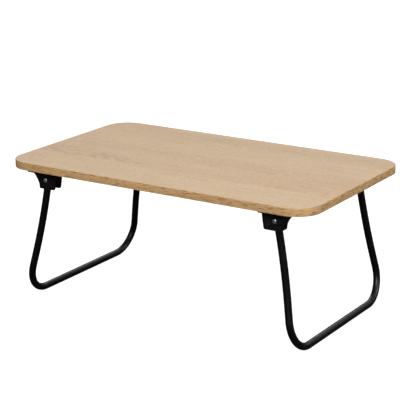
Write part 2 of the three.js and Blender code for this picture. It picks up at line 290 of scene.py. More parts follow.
def turned(
    name: str,
    profile: Sequence[Point2],
    sides: int,
    thread: Callable[[float, float], float] | None = None,
) -> bpy.types.Mesh:
    """A round solid turned about Z.

    Its UV map holds the share of the turn and the distance along the profile, in millimetres.

    Args:
        name: The mesh's name.
        profile: (radius, height) pairs, which begin and end on the axis or close on themselves.
        sides: How many sides the round has.
        thread: How far the surface is drawn in at a height and an angle, or None.

    Returns:
        The closed mesh.
    """
    work = bmesh.new()
    uv_layer = work.loops.layers.uv.new("TurnedUV")
    rings: list[list[bmesh.types.BMVert]] = []
    for radius, height in profile:
        if radius < 1e-6:
            rings.append([work.verts.new((0, 0, height))])
            continue
        ring = []
        for side in range(sides):
            angle = math.tau * side / sides
            reach = radius - (thread(height, angle) if thread else 0.0)
            ring.append(work.verts.new((reach * math.cos(angle), reach * math.sin(angle), height)))
        rings.append(ring)
    on_axis = len(rings[0]) == 1
    travelled = 0.0
    for index in range(len(rings) - 1 if on_axis else len(rings)):
        following = (index + 1) % len(rings)
        step = math.dist(profile[index], profile[following])
        for side in range(sides):
            other = side + 1
            spots = [
                (rings[index], side, travelled),
                (rings[index], other, travelled),
                (rings[following], other, travelled + step),
                (rings[following], side, travelled + step),
            ]
            corners: dict[bmesh.types.BMVert, Point2] = {}
            for ring, place, along in spots:
                corners.setdefault(ring[place % len(ring)], (place / sides, along))
            face = work.faces.new(list(corners))
            for loop in face.loops:
                loop[uv_layer].uv = corners[loop.vert]
        travelled += step
    return finished_mesh(name, work)


def rod(name: str, radius: float, low: float, high: float, sides: int = 40) -> bpy.types.Mesh:
    """A plain round cutter about Z between two heights."""
    return turned(name, [(0, low), (radius, low), (radius, high), (0, high)], sides)


def stood(mesh: bpy.types.Mesh) -> bpy.types.Object:
    """An object in the scene, for a mesh to be worked on.

    Args:
        mesh: The mesh.

    Returns:
        The object.
    """
    thing = bpy.data.objects.new(mesh.name, mesh)
    bpy.context.scene.collection.objects.link(thing)
    return thing


def worked(name: str, host: bpy.types.Object, tools: Sequence[bpy.types.Object] = ()) -> bpy.types.Mesh:
    """The shape that an object's modifiers give it.

    Args:
        name: The new mesh's name.
        host: The object. It is removed, and so is its mesh.
        tools: The objects that its modifiers use. They are removed too.

    Returns:
        The new mesh.
    """
    graph = bpy.context.evaluated_depsgraph_get()
    mesh = bpy.data.meshes.new_from_object(host.evaluated_get(graph))
    for thing in (host, *tools):
        spent = thing.data
        bpy.data.objects.remove(thing)
        bpy.data.meshes.remove(spent)
    mesh.name = name
    return mesh


def combined(
    name: str, body: bpy.types.Mesh, others: Sequence[bpy.types.Mesh], operation: Operation
) -> bpy.types.Mesh:
    """A body with other solids joined to it, cut from it or kept in common with it.

    Args:
        name: The new mesh's name.
        body: The solid that is worked on. It is removed.
        others: The solids that work on it, one after another. They are removed.
        operation: What is done with each of them.

    Returns:
        The new mesh.
    """
    host = stood(body)
    tools = [stood(other) for other in others]
    for tool in tools:
        step = host.modifiers.new(tool.name, "BOOLEAN")
        step.operation = operation.value
        step.solver = "EXACT"
        step.object = tool
    return worked(name, host, tools)


def softened(mesh: bpy.types.Mesh, width: float, steps: int, angle: float) -> bpy.types.Mesh:
    """The mesh with its sharp edges rounded.

    Args:
        mesh: The solid. It is removed.
        width: How far a rounded edge reaches along each face.
        steps: How many short sides make one rounded edge.
        angle: The least turn between two faces, in degrees, whose edge is rounded.

    Returns:
        The rounded mesh.
    """
    host = stood(mesh)
    bevel = host.modifiers.new("soften", "BEVEL")
    bevel.width = width
    bevel.segments = steps
    bevel.limit_method = "ANGLE"
    bevel.angle_limit = math.radians(angle)
    bevel.use_clamp_overlap = True
    bevel.miter_outer = "MITER_ARC"
    return worked("softened", host)


@dataclass(frozen=True)
class CrossRecess:
    """A tapering cross-shaped drive recess in a screw's head."""

    reach: float = 3.6
    width: float = 0.9
    depth: float = 1.3

    def cutter(self) -> bpy.types.Mesh:
        """The cutter for it, with its mouth up at z = 0.

        Returns:
            The closed mesh.
        """
        mouth, foot = self.reach / 2, self.reach / 5
        side = [(-foot, -self.depth), (foot, -self.depth), (mouth, 0.0)]
        side += [(mouth, self.depth), (-mouth, self.depth), (-mouth, 0.0)]
        along, across = (moved(side_slab("arm", side, self.width), spin(turn, "Z")) for turn in (0, 90))
        return combined("drive_recess", along, [across], Operation.JOIN)


@dataclass(frozen=True)
class Thread:
    """A screw thread, cut into a turned shank.

    Attributes:
        pitch: How far it climbs in one turn.
        depth: How deep it is cut.
        steepness: 1 for flanks that meet, or more for a narrow crest and a flat root.
        run_out: The length over which it fades in and out.
    """

    pitch: float
    depth: float
    steepness: float
    run_out: float

    def groove(self, start: float, low: float, high: float) -> Callable[[float, float], float]:
        """How far the thread draws the shank in.

        Args:
            start: The height that its turns are counted from.
            low: Where it begins.
            high: Where it ends.

        Returns:
            The depth for a height and an angle.
        """

        def depth_at(height: float, angle: float) -> float:
            """The depth at one height and angle.

            Args:
                height: The height along the shank.
                angle: The angle round it, in radians.

            Returns:
                The depth, which is 0 outside the thread.
            """
            inside = min(height - low, high - height)
            if inside <= 0:
                return 0.0
            turns = (height - start) / self.pitch - angle / math.tau
            valley = min(1.0, self.steepness * abs(2 * (turns - math.floor(turns)) - 1))
            return self.depth * valley * min(1.0, inside / self.run_out)

        return depth_at


# ---------------------------------------------------------------- shader bench and effects


class NodeBench:
    """Adds nodes to one shader tree and wires them up."""

    def __init__(self, tree: bpy.types.NodeTree) -> None:
        """Takes the tree that is worked on."""
        self.tree = tree

    def feed(self, socket: bpy.types.NodeSocket, value: Wire) -> None:
        """Wires a socket up, or sets its own value.

        Args:
            socket: The socket.
            value: What goes in.
        """
        if isinstance(value, bpy.types.NodeSocket):
            self.tree.links.new(value, socket)
        else:
            socket.default_value = value

    def add(
        self, kind: str, wires: dict[str | int, Wire] | None = None, **settings: object
    ) -> bpy.types.Node:
        """Adds a node.

        Args:
            kind: The node's type name.
            wires: What goes into its inputs, by name or number.
            **settings: The node's own settings.

        Returns:
            The new node.
        """
        node = self.tree.nodes.new(kind)
        for key, value in settings.items():
            setattr(node, key, value)
        for key, value in (wires or {}).items():
            self.feed(node.inputs[key], value)
        return node

    def maths(self, operation: str, *values: Wire, clamp: bool = False) -> bpy.types.NodeSocket:
        """The result of a calculation with one, two or three values."""
        wires = dict(enumerate(values))
        return self.add("ShaderNodeMath", wires, operation=operation, use_clamp=clamp).outputs[0]

    def times(self, first: Wire, second: Wire) -> bpy.types.NodeSocket:
        """The product of two values."""
        return self.maths("MULTIPLY", first, second)

    def vector(self, x: Wire, y: Wire, z: Wire) -> bpy.types.NodeSocket:
        """A vector of three values."""
        return self.add("ShaderNodeCombineXYZ", {0: x, 1: y, 2: z}).outputs[0]

    def parts(self, vector: Wire) -> list[bpy.types.NodeSocket]:
        """The three values of a vector."""
        return list(self.add("ShaderNodeSeparateXYZ", {0: vector}).outputs)

    def scaled(self, vector: Wire, scales: Sequence[float]) -> bpy.types.NodeSocket:
        """A vector with each of its values multiplied."""
        return self.add("ShaderNodeVectorMath", {0: vector, 1: scales}, operation="MULTIPLY").outputs[0]

    def noise(self, vector: Wire, detail: float = 2.0, roughness: float = 0.5) -> bpy.types.NodeSocket:
        """Soft noise with one cell to a unit of the vector."""
        wires = {"Vector": vector, "Scale": 1.0, "Detail": detail, "Roughness": roughness}
        return self.add("ShaderNodeTexNoise", wires).outputs[0]

    def mapped(self, value: Wire, from_range: Point2, to_range: Point2 = (0.0, 1.0)) -> bpy.types.NodeSocket:
        """A value moved smoothly from one range to another and held inside it."""
        wires = {0: value, 1: from_range[0], 2: from_range[1], 3: to_range[0], 4: to_range[1]}
        return self.add("ShaderNodeMapRange", wires, interpolation_type="SMOOTHSTEP").outputs[0]

    def mixed(self, share: Wire, first: Wire, second: Wire) -> bpy.types.NodeSocket:
        """A colour between two colours."""
        wires = {0: share, 6: first, 7: second}
        return self.add("ShaderNodeMix", wires, data_type="RGBA").outputs[2]

    def place(self) -> bpy.types.NodeSocket:
        """The point's own place on the piece, in metres."""
        return self.add("ShaderNodeTexCoord").outputs["Object"]

    def effect(self, group: bpy.types.NodeTree, **wires: Wire) -> bpy.types.Node:
        """Places a shared effect, with its inputs named in small letters with low lines.

        Args:
            group: The effect.
            **wires: What goes into its inputs.

        Returns:
            The effect's node.
        """
        node = self.add("ShaderNodeGroup", node_tree=group)
        for key, value in wires.items():
            self.feed(node.inputs[key.replace("_", " ").capitalize()], value)
        return node


class Effect:
    """A shader node group in the making, with its named inputs and outputs."""

    def __init__(self, name: str, inputs: dict[str, float | None], outputs: Iterable[str]) -> None:
        """Makes the group and its sockets.

        Args:
            name: The group's name.
            inputs: Each input's starting value, or None for a vector.
            outputs: The names of the value outputs.
        """
        self.tree = bpy.data.node_groups.new(name, "ShaderNodeTree")
        for label, start in inputs.items():
            kind = "NodeSocketVector" if start is None else "NodeSocketFloat"
            socket = self.tree.interface.new_socket(label, in_out="INPUT", socket_type=kind)
            if start is not None:
                socket.default_value = start
        for label in outputs:
            self.tree.interface.new_socket(label, in_out="OUTPUT", socket_type="NodeSocketFloat")
        self.bench = NodeBench(self.tree)
        self.given = self.bench.add("NodeGroupInput").outputs
        self.put_out = self.bench.add("NodeGroupOutput").inputs

    def finished(self, **outputs: Wire) -> bpy.types.NodeTree:
        """The finished group, once its outputs, named in small letters, are wired up.

        Args:
            **outputs: What each output puts out.

        Returns:
            The group.
        """
        for key, value in outputs.items():
            self.bench.feed(self.put_out[key.capitalize()], value)
        return self.tree


@cache
def oak_grain() -> bpy.types.NodeTree:
    """Printed oak: long streaks, fine fibres and short pores, all along X.

    Returns:
        The group, which puts out Streaks, Fibres, Pores and Height.
    """
    effect = Effect(
        "oak_grain",
        {
            "Place": None,
            "Bend": 0.016,
            "Streak width": 0.008,
            "Streak rate": 5.2,
            "Pore length": 0.006,
            "Pore width": 0.0004,
            "Pore cover": 0.3,
        },
        ("Streaks", "Fibres", "Pores", "Height"),
    )
    bench, given = effect.bench, effect.given
    x, y, z = bench.parts(given["Place"])
    drift = bench.noise(bench.scaled(given["Place"], (2.6, 13.0, 5.0)), 2.0)
    bent = bench.maths("MULTIPLY_ADD", drift, given["Bend"], y)
    across = bench.maths("DIVIDE", bent, given["Streak width"])
    streaks = bench.noise(bench.vector(bench.times(x, given["Streak rate"]), across, z), 4.0, 0.62)
    fibre_place = bench.vector(bench.times(x, 26.0), bench.times(bent, 1250.0), 3.7)
    fibres = bench.noise(fibre_place, 2.0, 0.6)
    pore_x = bench.maths("DIVIDE", x, given["Pore length"])
    pore_y = bench.maths("DIVIDE", bent, given["Pore width"])
    dashes = bench.noise(bench.vector(pore_x, pore_y, 8.3), 1.0, 0.4)
    edge = bench.maths("SUBTRACT", 0.78, bench.times(given["Pore cover"], 0.5))
    over = bench.maths("SUBTRACT", dashes, edge)
    pores = bench.maths("MULTIPLY", over, 9.0, clamp=True)
    height = bench.maths("SUBTRACT", bench.times(fibres, 0.4), pores)
    return effect.finished(streaks=streaks, fibres=fibres, pores=pores, height=height)


@cache
def oak_heart() -> bpy.types.NodeTree:
    """The long loops of growth rings above one heart of the figure, whose lower half a seam cuts off.

    Returns:
        The group, which puts out Rings, strongest near the heart and fading away from it.
    """
    effect = Effect(
        "oak_heart",
        {"Place": None, "Heart": None, "Length": 0.2, "Breadth": 0.03, "Rings": 6.0},
        ("Rings",),
    )
    bench, given = effect.bench, effect.given
    wander = bench.noise(bench.scaled(given["Place"], (9.0, 34.0, 1.0)), 3.0)
    offset = bench.add(
        "ShaderNodeVectorMath", {0: given["Place"], 1: given["Heart"]}, operation="SUBTRACT"
    ).outputs[0]
    x, y, _ = bench.parts(offset)
    along = bench.maths("DIVIDE", x, given["Length"])
    across = bench.maths("DIVIDE", y, given["Breadth"])
    away = bench.maths("SQRT", bench.maths("MULTIPLY_ADD", along, along, bench.times(across, across)))
    phase = bench.times(bench.maths("MULTIPLY_ADD", wander, 0.4, away), given["Rings"])
    wave = bench.maths("POWER", bench.maths("ABSOLUTE", bench.maths("SINE", phase)), 3.0)
    uneven = bench.noise(bench.scaled(given["Place"], (13.0, 26.0, 3.0)), 2.0)
    fade = bench.maths("SUBTRACT", 1.0, bench.mapped(away, (1.05, 1.65)))
    above = bench.times(fade, bench.mapped(y, (0.002, 0.02)))
    reach = bench.times(above, bench.mapped(uneven, (0.2, 0.48)))
    return effect.finished(rings=bench.times(wave, reach))


@cache
def saw_marks() -> bpy.types.NodeTree:
    """Faint marks of the saw across the grain, in scattered patches.

    Returns:
        The group, which puts out Marks.
    """
    effect = Effect("saw_marks", {"Place": None, "Pitch": 0.0028}, ("Marks",))
    bench, given = effect.bench, effect.given
    x, y, _ = bench.parts(given["Place"])
    across = bench.maths("DIVIDE", x, given["Pitch"])
    lines = bench.noise(bench.vector(across, bench.times(y, 34.0), 1.9), 1.0)
    patches = bench.noise(bench.scaled(given["Place"], (9.0, 14.0, 1.0)), 2.0)
    strength = bench.times(bench.mapped(lines, (0.5, 0.72)), bench.mapped(patches, (0.45, 0.68)))
    return effect.finished(marks=strength)


@cache
def stipple() -> bpy.types.NodeTree:
    """A fine pebbled skin, as on powder coat and moulded plastic.

    Returns:
        The group, which puts out Height and a slow Mottle.
    """
    effect = Effect("stipple", {"Place": None, "Grain": 0.0006}, ("Height", "Mottle"))
    bench, given = effect.bench, effect.given
    scale = bench.maths("DIVIDE", 1.0, given["Grain"])
    fine = bench.add(
        "ShaderNodeVectorMath", {0: given["Place"], "Scale": scale}, operation="SCALE"
    ).outputs[0]
    mottle = bench.noise(bench.scaled(given["Place"], (35.0,) * 3), 3.0)
    return effect.finished(height=bench.noise(fine, 2.0, 0.55), mottle=mottle)


@cache
def handling() -> bpy.types.NodeTree:
    """Traces of use: soft smudges from hands and a few thin scuffs.

    Returns:
        The group, which puts out Smudges and Scuffs.
    """
    effect = Effect("handling", {"Place": None, "Amount": 0.5}, ("Smudges", "Scuffs"))
    bench, given = effect.bench, effect.given
    smudges = bench.mapped(bench.noise(bench.scaled(given["Place"], (17.0,) * 3), 3.0, 0.6), (0.42, 0.7))
    skew = bench.add(
        "ShaderNodeVectorRotate",
        {"Vector": given["Place"], "Angle": 0.6, "Axis": (0.3, 0.5, 0.8)},
        rotation_type="AXIS_ANGLE",
    ).outputs[0]
    lines = bench.mapped(bench.noise(bench.scaled(skew, (24.0, 1900.0, 260.0)), 1.0), (0.69, 0.74))
    rare = bench.mapped(bench.noise(bench.scaled(given["Place"], (60.0,) * 3), 2.0), (0.56, 0.66))
    scuffs = bench.times(bench.times(lines, rare), given["Amount"])
    return effect.finished(smudges=bench.times(smudges, given["Amount"]), scuffs=scuffs)


@cache
def turning_marks() -> bpy.types.NodeTree:
    """The fine rings that a cutting tool leaves on a turned or pressed round piece.

    Returns:
        The group, which puts out Rings. Its Turn input is the TurnedUV map.
    """
    effect = Effect("turning_marks", {"Turn": None, "Rings to a mm": 6.0}, ("Rings",))
    bench, given = effect.bench, effect.given
    share, along, _ = bench.parts(given["Turn"])
    finer = bench.times(along, given["Rings to a mm"])
    rings = bench.noise(bench.vector(bench.times(share, 1.5), finer, 0.0), 2.0, 0.6)
    return effect.finished(rings=rings)


# ---------------------------------------------------------------- finishes


@dataclass(frozen=True)
class Finish(ABC):
    """A surface finish, which makes its material once.

    Attributes:
        slot: The record's material slot that the finish belongs to.
    """

    slot: str

    def material(self) -> bpy.types.Material:
        """The finish's material, made when it is first asked for.

        Returns:
            The material.
        """
        known = bpy.data.materials.get(f"{self.slot}_finish")
        if known is not None:
            return known
        material = bpy.data.materials.new(f"{self.slot}_finish")
        material.use_nodes = True
        bench = NodeBench(material.node_tree)
        self.paint(bench, material.node_tree.nodes["Principled BSDF"])
        return material

    @abstractmethod
    def paint(self, bench: NodeBench, shader: bpy.types.Node) -> None:
        """Wires the finish up to the shader.

        Args:
            bench: The bench on the material's own tree.
            shader: The material's Principled BSDF.
        """

    @staticmethod
    def set_plain(shader: bpy.types.Node, **values: float) -> None:
        """Sets values that are the same all over on the shader's own sockets."""
        for key, value in values.items():
            shader.inputs[key].default_value = value

    @staticmethod
    def emboss(bench: NodeBench, shader: bpy.types.Node, height: Wire, depth: float, strength: float) -> None:
        """Feeds a height to the shader's Normal.

        Args:
            bench: The bench on the material's own tree.
            shader: The material's Principled BSDF.
            height: The height, from 0 to 1.
            depth: What a height of 1 stands for, in metres.
            strength: How strongly it shows.
        """
        wires = {"Height": height, "Distance": depth, "Strength": strength}
        bench.feed(shader.inputs["Normal"], bench.add("ShaderNodeBump", wires).outputs[0])


@dataclass(frozen=True)
class GrainSizes:
    """How large one use of the oak grain is.

    Attributes:
        bend: How far the grain wanders sideways, in metres.
        streak_width: A streak's width, in metres.
        streak_rate: How often a streak changes along its length, to a metre.
        pore_length: A pore's length, in metres.
        pore_width: A pore's width, in metres.
        pore_cover: How readily pores form. A higher value gives more of them.
    """

    bend: float
    streak_width: float
    streak_rate: float
    pore_length: float
    pore_width: float
    pore_cover: float

    def lay(self, bench: NodeBench, place: Wire) -> bpy.types.Node:
        """Places the oak grain at this size.

        Args:
            bench: The bench on the material's own tree.
            place: The coordinates that the grain is laid out by, in metres.

        Returns:
            The grain's node.
        """
        return bench.effect(oak_grain(), place=place, **vars(self))


LAMINATE_GRAIN = GrainSizes(
    bend=0.014,
    streak_width=0.0048,
    streak_rate=11.0,
    pore_length=0.0075,
    pore_width=0.00046,
    pore_cover=0.42,
)
BAND_COARSE_GRAIN = GrainSizes(
    bend=0.0016,
    streak_width=0.0016,
    streak_rate=22.0,
    pore_length=0.013,
    pore_width=0.00135,
    pore_cover=0.46,
)
BAND_FINE_GRAIN = GrainSizes(
    bend=0.001,
    streak_width=0.0007,
    streak_rate=60.0,
    pore_length=0.009,
    pore_width=0.00055,
    pore_cover=0.46,
)


@dataclass(frozen=True)
class OakDecor(Finish):
    """Printed oak on a flat laminate, with its grain along X.

    Attributes:
        light: The palest tone.
        middle: The tone between the pale bands.
        dark: The tone of streaks, rings and fibres.
        rosy: The tone of the warmer zone behind the seam.
        pore: The tone of the pores.
        heart: Where the growth rings centre, in metres.
        seam: The Y of the seam between the front strip and the rest, in metres.
        roughness: The surface's roughness between its pores.
        figure: How strongly streaks, rings and saw marks show.
    """

    light: Colour
    middle: Colour
    dark: Colour
    rosy: Colour
    pore: Colour
    heart: tuple[float, float, float]
    seam: float
    roughness: float = 0.46
    figure: float = 1.0

    def paint(self, bench: NodeBench, shader: bpy.types.Node) -> None:
        """Lays the seam's plain front strip, a rosy zone behind it, and the grain's marks over both.

        Args:
            bench: The bench on the material's own tree.
            shader: The material's Principled BSDF.
        """
        place = bench.place()
        grain = LAMINATE_GRAIN.lay(bench, place)
        rings = bench.effect(
            oak_heart(), place=place, heart=self.heart, length=0.235, breadth=0.053, rings=26.0
        ).outputs["Rings"]
        marks = bench.effect(saw_marks(), place=place, pitch=0.0026).outputs["Marks"]
        fleck = bench.noise(bench.scaled(place, (190.0, 900.0, 3.0)), 2.0, 0.7)
        bands = bench.noise(bench.scaled(place, (0.9, 15.0, 1.0)), 2.0)
        x, y, _ = bench.parts(place)
        wavy = bench.maths("MULTIPLY_ADD", bands, 0.012, y)
        behind = bench.mapped(wavy, (self.seam + 0.003, self.seam + 0.01))
        past = bench.maths("SUBTRACT", 1.0, bench.mapped(wavy, (self.seam + 0.06, self.seam + 0.15)))
        warm = bench.times(bench.times(behind, past), bench.mapped(x, (-0.1, 0.2)))

        colour = bench.mixed(bench.mapped(bands, (0.34, 0.66)), self.middle, self.light)
        colour = bench.mixed(bench.times(warm, 0.8), colour, self.rosy)
        front = bench.times(bench.maths("SUBTRACT", 1.0, behind), 0.7)
        colour = bench.mixed(front, colour, self.light)
        streaks = bench.mapped(grain.outputs["Streaks"], (0.42, 0.74), (0.0, 0.34 * self.figure))
        colour = bench.mixed(streaks, colour, self.dark)
        colour = bench.mixed(bench.times(rings, 0.62 * self.figure), colour, self.dark)
        colour = bench.mixed(bench.mapped(fleck, (0.38, 0.7), (0.0, 0.4)), colour, self.dark)
        colour = bench.mixed(bench.times(marks, 0.8 * self.figure), colour, self.light)
        fibres = bench.mapped(grain.outputs["Fibres"], (0.5, 0.8), (0.0, 0.36))
        colour = bench.mixed(fibres, colour, self.dark)
        colour = bench.mixed(bench.times(grain.outputs["Pores"], 0.42), colour, self.pore)
        bench.feed(shader.inputs["Base Color"], colour)

        smudges = bench.effect(handling(), place=place, amount=0.5).outputs["Smudges"]
        sheen = bench.maths("MULTIPLY_ADD", grain.outputs["Pores"], 0.12, self.roughness)
        bench.feed(shader.inputs["Roughness"], bench.maths("MULTIPLY_ADD", smudges, 0.07, sheen))
        self.set_plain(shader, **{"Specular IOR Level": 0.32})
        self.emboss(bench, shader, grain.outputs["Height"], 0.00006, 0.35)


@dataclass(frozen=True)
class OakBand(Finish):
    """Edge banding of a warmer oak with short dark pores along it, laid out by the band's own map."""

    light: Colour
    dark: Colour
    pore: Colour
    roughness: float = 0.4

    def paint(self, bench: NodeBench, shader: bpy.types.Node) -> None:
        """Lays streaks, fibres and two sizes of pore along the band.

        Args:
            bench: The bench on the material's own tree.
            shader: The material's Principled BSDF.
        """
        band = bench.add("ShaderNodeUVMap", uv_map="BandUV").outputs[0]
        coarse = BAND_COARSE_GRAIN.lay(bench, band)
        fine = BAND_FINE_GRAIN.lay(bench, band)
        slow = bench.noise(bench.scaled(band, (7.0, 30.0, 1.0)), 2.0)

        streaks = bench.mapped(coarse.outputs["Streaks"], (0.36, 0.68), (0.0, 0.4))
        colour = bench.mixed(streaks, self.light, self.dark)
        colour = bench.mixed(bench.mapped(slow, (0.4, 0.7), (0.0, 0.25)), colour, self.dark)
        fibres = bench.mapped(fine.outputs["Fibres"], (0.5, 0.8), (0.0, 0.35))
        colour = bench.mixed(fibres, colour, self.dark)
        colour = bench.mixed(bench.times(fine.outputs["Pores"], 0.4), colour, self.pore)
        colour = bench.mixed(bench.times(coarse.outputs["Pores"], 0.62), colour, self.pore)
        bench.feed(shader.inputs["Base Color"], colour)

        smudges = bench.effect(handling(), place=bench.place(), amount=0.6).outputs["Smudges"]
        bench.feed(shader.inputs["Roughness"], bench.maths("MULTIPLY_ADD", smudges, 0.1, self.roughness))
        self.set_plain(shader, **{"Specular IOR Level": 0.35})
        self.emboss(bench, shader, coarse.outputs["Height"], 0.00008, 0.4)


@dataclass(frozen=True)
class ChipCore(Finish):
    """The board's core of pressed wood chips."""

    chip: Colour
    glue: Colour

    def paint(self, bench: NodeBench, shader: bpy.types.Node) -> None:
        """Lays chips of many tones beside one another.

        Args:
            bench: The bench on the material's own tree.
            shader: The material's Principled BSDF.
        """
        place = bench.scaled(bench.place(), (420.0, 650.0, 1100.0))
        cells = bench.add("ShaderNodeTexVoronoi", {"Vector": place, "Scale": 1.0})
        tone = bench.parts(cells.outputs["Color"])[0]
        bench.feed(shader.inputs["Base Color"], bench.mixed(tone, self.chip, self.glue))
        bench.feed(shader.inputs["Roughness"], bench.maths("MULTIPLY_ADD", tone, 0.15, 0.78))
        self.emboss(bench, shader, cells.outputs["Distance"], 0.0002, 0.5)


@dataclass(frozen=True)
class BlackSkin(Finish):
    """A black pebbled skin: powder coat on steel, or moulded plastic, by its values."""

    base: Colour
    dust: Colour
    roughness: float
    gloss: float
    grain: float
    depth: float

    def paint(self, bench: NodeBench, shader: bpy.types.Node) -> None:
        """Lays the stipple, a slow mottle and traces of handling over the black.

        Args:
            bench: The bench on the material's own tree.
            shader: The material's Principled BSDF.
        """
        place = bench.place()
        skin = bench.effect(stipple(), place=place, grain=self.grain)
        use = bench.effect(handling(), place=place, amount=0.7)
        mottle = bench.mapped(skin.outputs["Mottle"], (0.35, 0.75), (0.0, 0.35))
        colour = bench.mixed(mottle, self.base, self.dust)
        colour = bench.mixed(bench.times(use.outputs["Scuffs"], 0.5), colour, self.dust)
        bench.feed(shader.inputs["Base Color"], colour)
        worn = bench.maths("MULTIPLY_ADD", use.outputs["Smudges"], 0.12, self.roughness)
        speckled = bench.maths("MULTIPLY_ADD", skin.outputs["Height"], 0.06, worn)
        bench.feed(shader.inputs["Roughness"], bench.maths("SUBTRACT", speckled, 0.03))
        self.set_plain(shader, **{"Specular IOR Level": self.gloss})
        self.emboss(bench, shader, skin.outputs["Height"], self.depth, 0.5)


@dataclass(frozen=True)
class ZincPlate(Finish):
    """Bright zinc plate over turned steel."""

    bright: Colour
    dull: Colour
    roughness: float = 0.3

    def paint(self, bench: NodeBench, shader: bpy.types.Node) -> None:
        """Lays the rings of the tool, a cloudy plate and scuffs over the metal.

        Args:
            bench: The bench on the material's own tree.
            shader: The material's Principled BSDF.
        """
        place = bench.place()
        turn = bench.add("ShaderNodeUVMap", uv_map="TurnedUV").outputs[0]
        rings = bench.effect(turning_marks(), turn=turn, rings_to_a_mm=7.0).outputs["Rings"]
        cloud = bench.noise(bench.scaled(place, (900.0,) * 3), 3.0, 0.6)
        use = bench.effect(handling(), place=place, amount=0.8)
        colour = bench.mixed(bench.mapped(cloud, (0.35, 0.7)), self.bright, self.dull)
        bench.feed(shader.inputs["Base Color"], colour)
        rough = bench.maths("MULTIPLY_ADD", cloud, 0.16, self.roughness - 0.06)
        worn = bench.maths("MULTIPLY_ADD", use.outputs["Scuffs"], 0.15, rough)
        bench.feed(shader.inputs["Roughness"], worn)
        self.set_plain(shader, Metallic=1.0)
        self.emboss(bench, shader, rings, 0.00002, 0.35)


@dataclass(frozen=True)
class Nylon(Finish):
    """Milky nylon, turned and slightly greasy."""

    base: Colour
    stained: Colour
    roughness: float = 0.42

    def paint(self, bench: NodeBench, shader: bpy.types.Node) -> None:
        """Lays faint turning rings and a grey film over the nylon.

        Args:
            bench: The bench on the material's own tree.
            shader: The material's Principled BSDF.
        """
        turn = bench.add("ShaderNodeUVMap", uv_map="TurnedUV").outputs[0]
        rings = bench.effect(turning_marks(), turn=turn, rings_to_a_mm=4.0).outputs["Rings"]
        film = bench.noise(bench.scaled(bench.place(), (420.0,) * 3), 3.0)
        colour = bench.mixed(bench.mapped(film, (0.42, 0.75)), self.base, self.stained)
        bench.feed(shader.inputs["Base Color"], colour)
        bench.feed(shader.inputs["Roughness"], bench.maths("MULTIPLY_ADD", film, 0.15, self.roughness))
        self.emboss(bench, shader, rings, 0.00003, 0.3)


OAK_TOP = OakDecor(
    slot="oak_top",
    light=srgb(196, 169, 135),
    middle=srgb(187, 160, 127),
    dark=srgb(155, 125, 94),
    rosy=srgb(188, 155, 122),
    pore=srgb(129, 101, 74),
    heart=(-0.4, -0.09, 0.254),
    seam=-0.088,
)
OAK_UNDERSIDE = OakDecor(
    slot="oak_underside",
    light=srgb(209, 189, 165),
    middle=srgb(200, 179, 155),
    dark=srgb(176, 150, 126),
    rosy=srgb(202, 178, 156),
    pore=srgb(152, 126, 104),
    heart=(0.18, 0.06, 0.2405),
    seam=0.052,
    roughness=0.55,
    figure=0.8,
)
OAK_EDGE = OakBand(
    slot="oak_edge",
    light=srgb(201, 163, 114),
    dark=srgb(164, 124, 78),
    pore=srgb(96, 62, 34),
)
BOARD_CORE = ChipCore(slot="board_core", chip=srgb(192, 164, 124), glue=srgb(142, 112, 78))
BLACK_TUBE = BlackSkin(
    slot="black_tube",
    base=srgb(4, 4, 4),
    dust=srgb(13, 11, 11),
    roughness=0.31,
    gloss=0.3,
    grain=0.0009,
    depth=0.00004,
)
BLACK_PLASTIC = BlackSkin(
    slot="black_plastic",
    base=srgb(8, 6, 6),
    dust=srgb(22, 19, 19),
    roughness=0.56,
    gloss=0.2,
    grain=0.0004,
    depth=0.00005,
)
BLACK_PLUG = BlackSkin(
    slot="black_plug",
    base=srgb(15, 15, 15),
    dust=srgb(34, 33, 32),
    roughness=0.5,
    gloss=0.35,
    grain=0.0005,
    depth=0.00003,
)
ZINC = ZincPlate(slot="zinc", bright=srgb(226, 229, 232), dull=srgb(188, 192, 197))
NYLON = Nylon(slot="nylon", base=srgb(222, 220, 211), stained=srgb(186, 183, 174))


# ---------------------------------------------------------------- placing pieces


def dress_node(name: str, finish: Finish) -> None:
    """Gives a node of the frame, whose shape stays, its finish.

    Args:
        name: The node.
        finish: Its finish.
    """
    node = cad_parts[name]
    node.data.materials.clear()
    node.data.materials.append(finish.material())
    log.info("%s: shape kept, finish %s", name, finish.slot)


def place_piece(
    name: str, mesh: bpy.types.Mesh, place: Matrix, body: str, finish: Finish, stands_for: str | None
) -> bpy.types.Object:
    """Puts a copy of a mesh in millimetres into the table as a piece of its own.

    Args:
        name: The piece's name.
        mesh: The shape, in the coordinates that place carries to the table.
        place: Where it goes.
        body: The moving body that it rides on.
        finish: Its finish.
        stands_for: The frame's node that it replaces, or None.

    Returns:
        The piece.
    """
    shape = mesh.copy()
    shape.name = name
    shape.transform(place @ Matrix.Scale(MM, 4))
    shape.materials.clear()
    shape.materials.append(finish.material())
    shape.polygons.foreach_set("material_index", [0] * len(shape.polygons))
    piece = bpy.data.objects.new(name, shape)
    bpy.context.scene.collection.objects.link(piece)
    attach(piece, body)
    if stands_for is not None:
        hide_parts(stands_for)
    log.info("%s: %d faces on %s, finish %s", name, len(shape.polygons), body, finish.slot)
    return piece


def shade(mesh: bpy.types.Mesh, angle: float = 32.0) -> bpy.types.Mesh:
    """Shades a mesh smooth except where its faces turn by more than the angle, in degrees.

    Args:
        mesh: The mesh.
        angle: The least turn that stays sharp, in degrees.

    Returns:
        The same mesh.
    """
    mesh.shade_smooth()
    mesh.set_sharp_from_angle(angle=math.radians(angle))
    return mesh


# ---------------------------------------------------------------- board


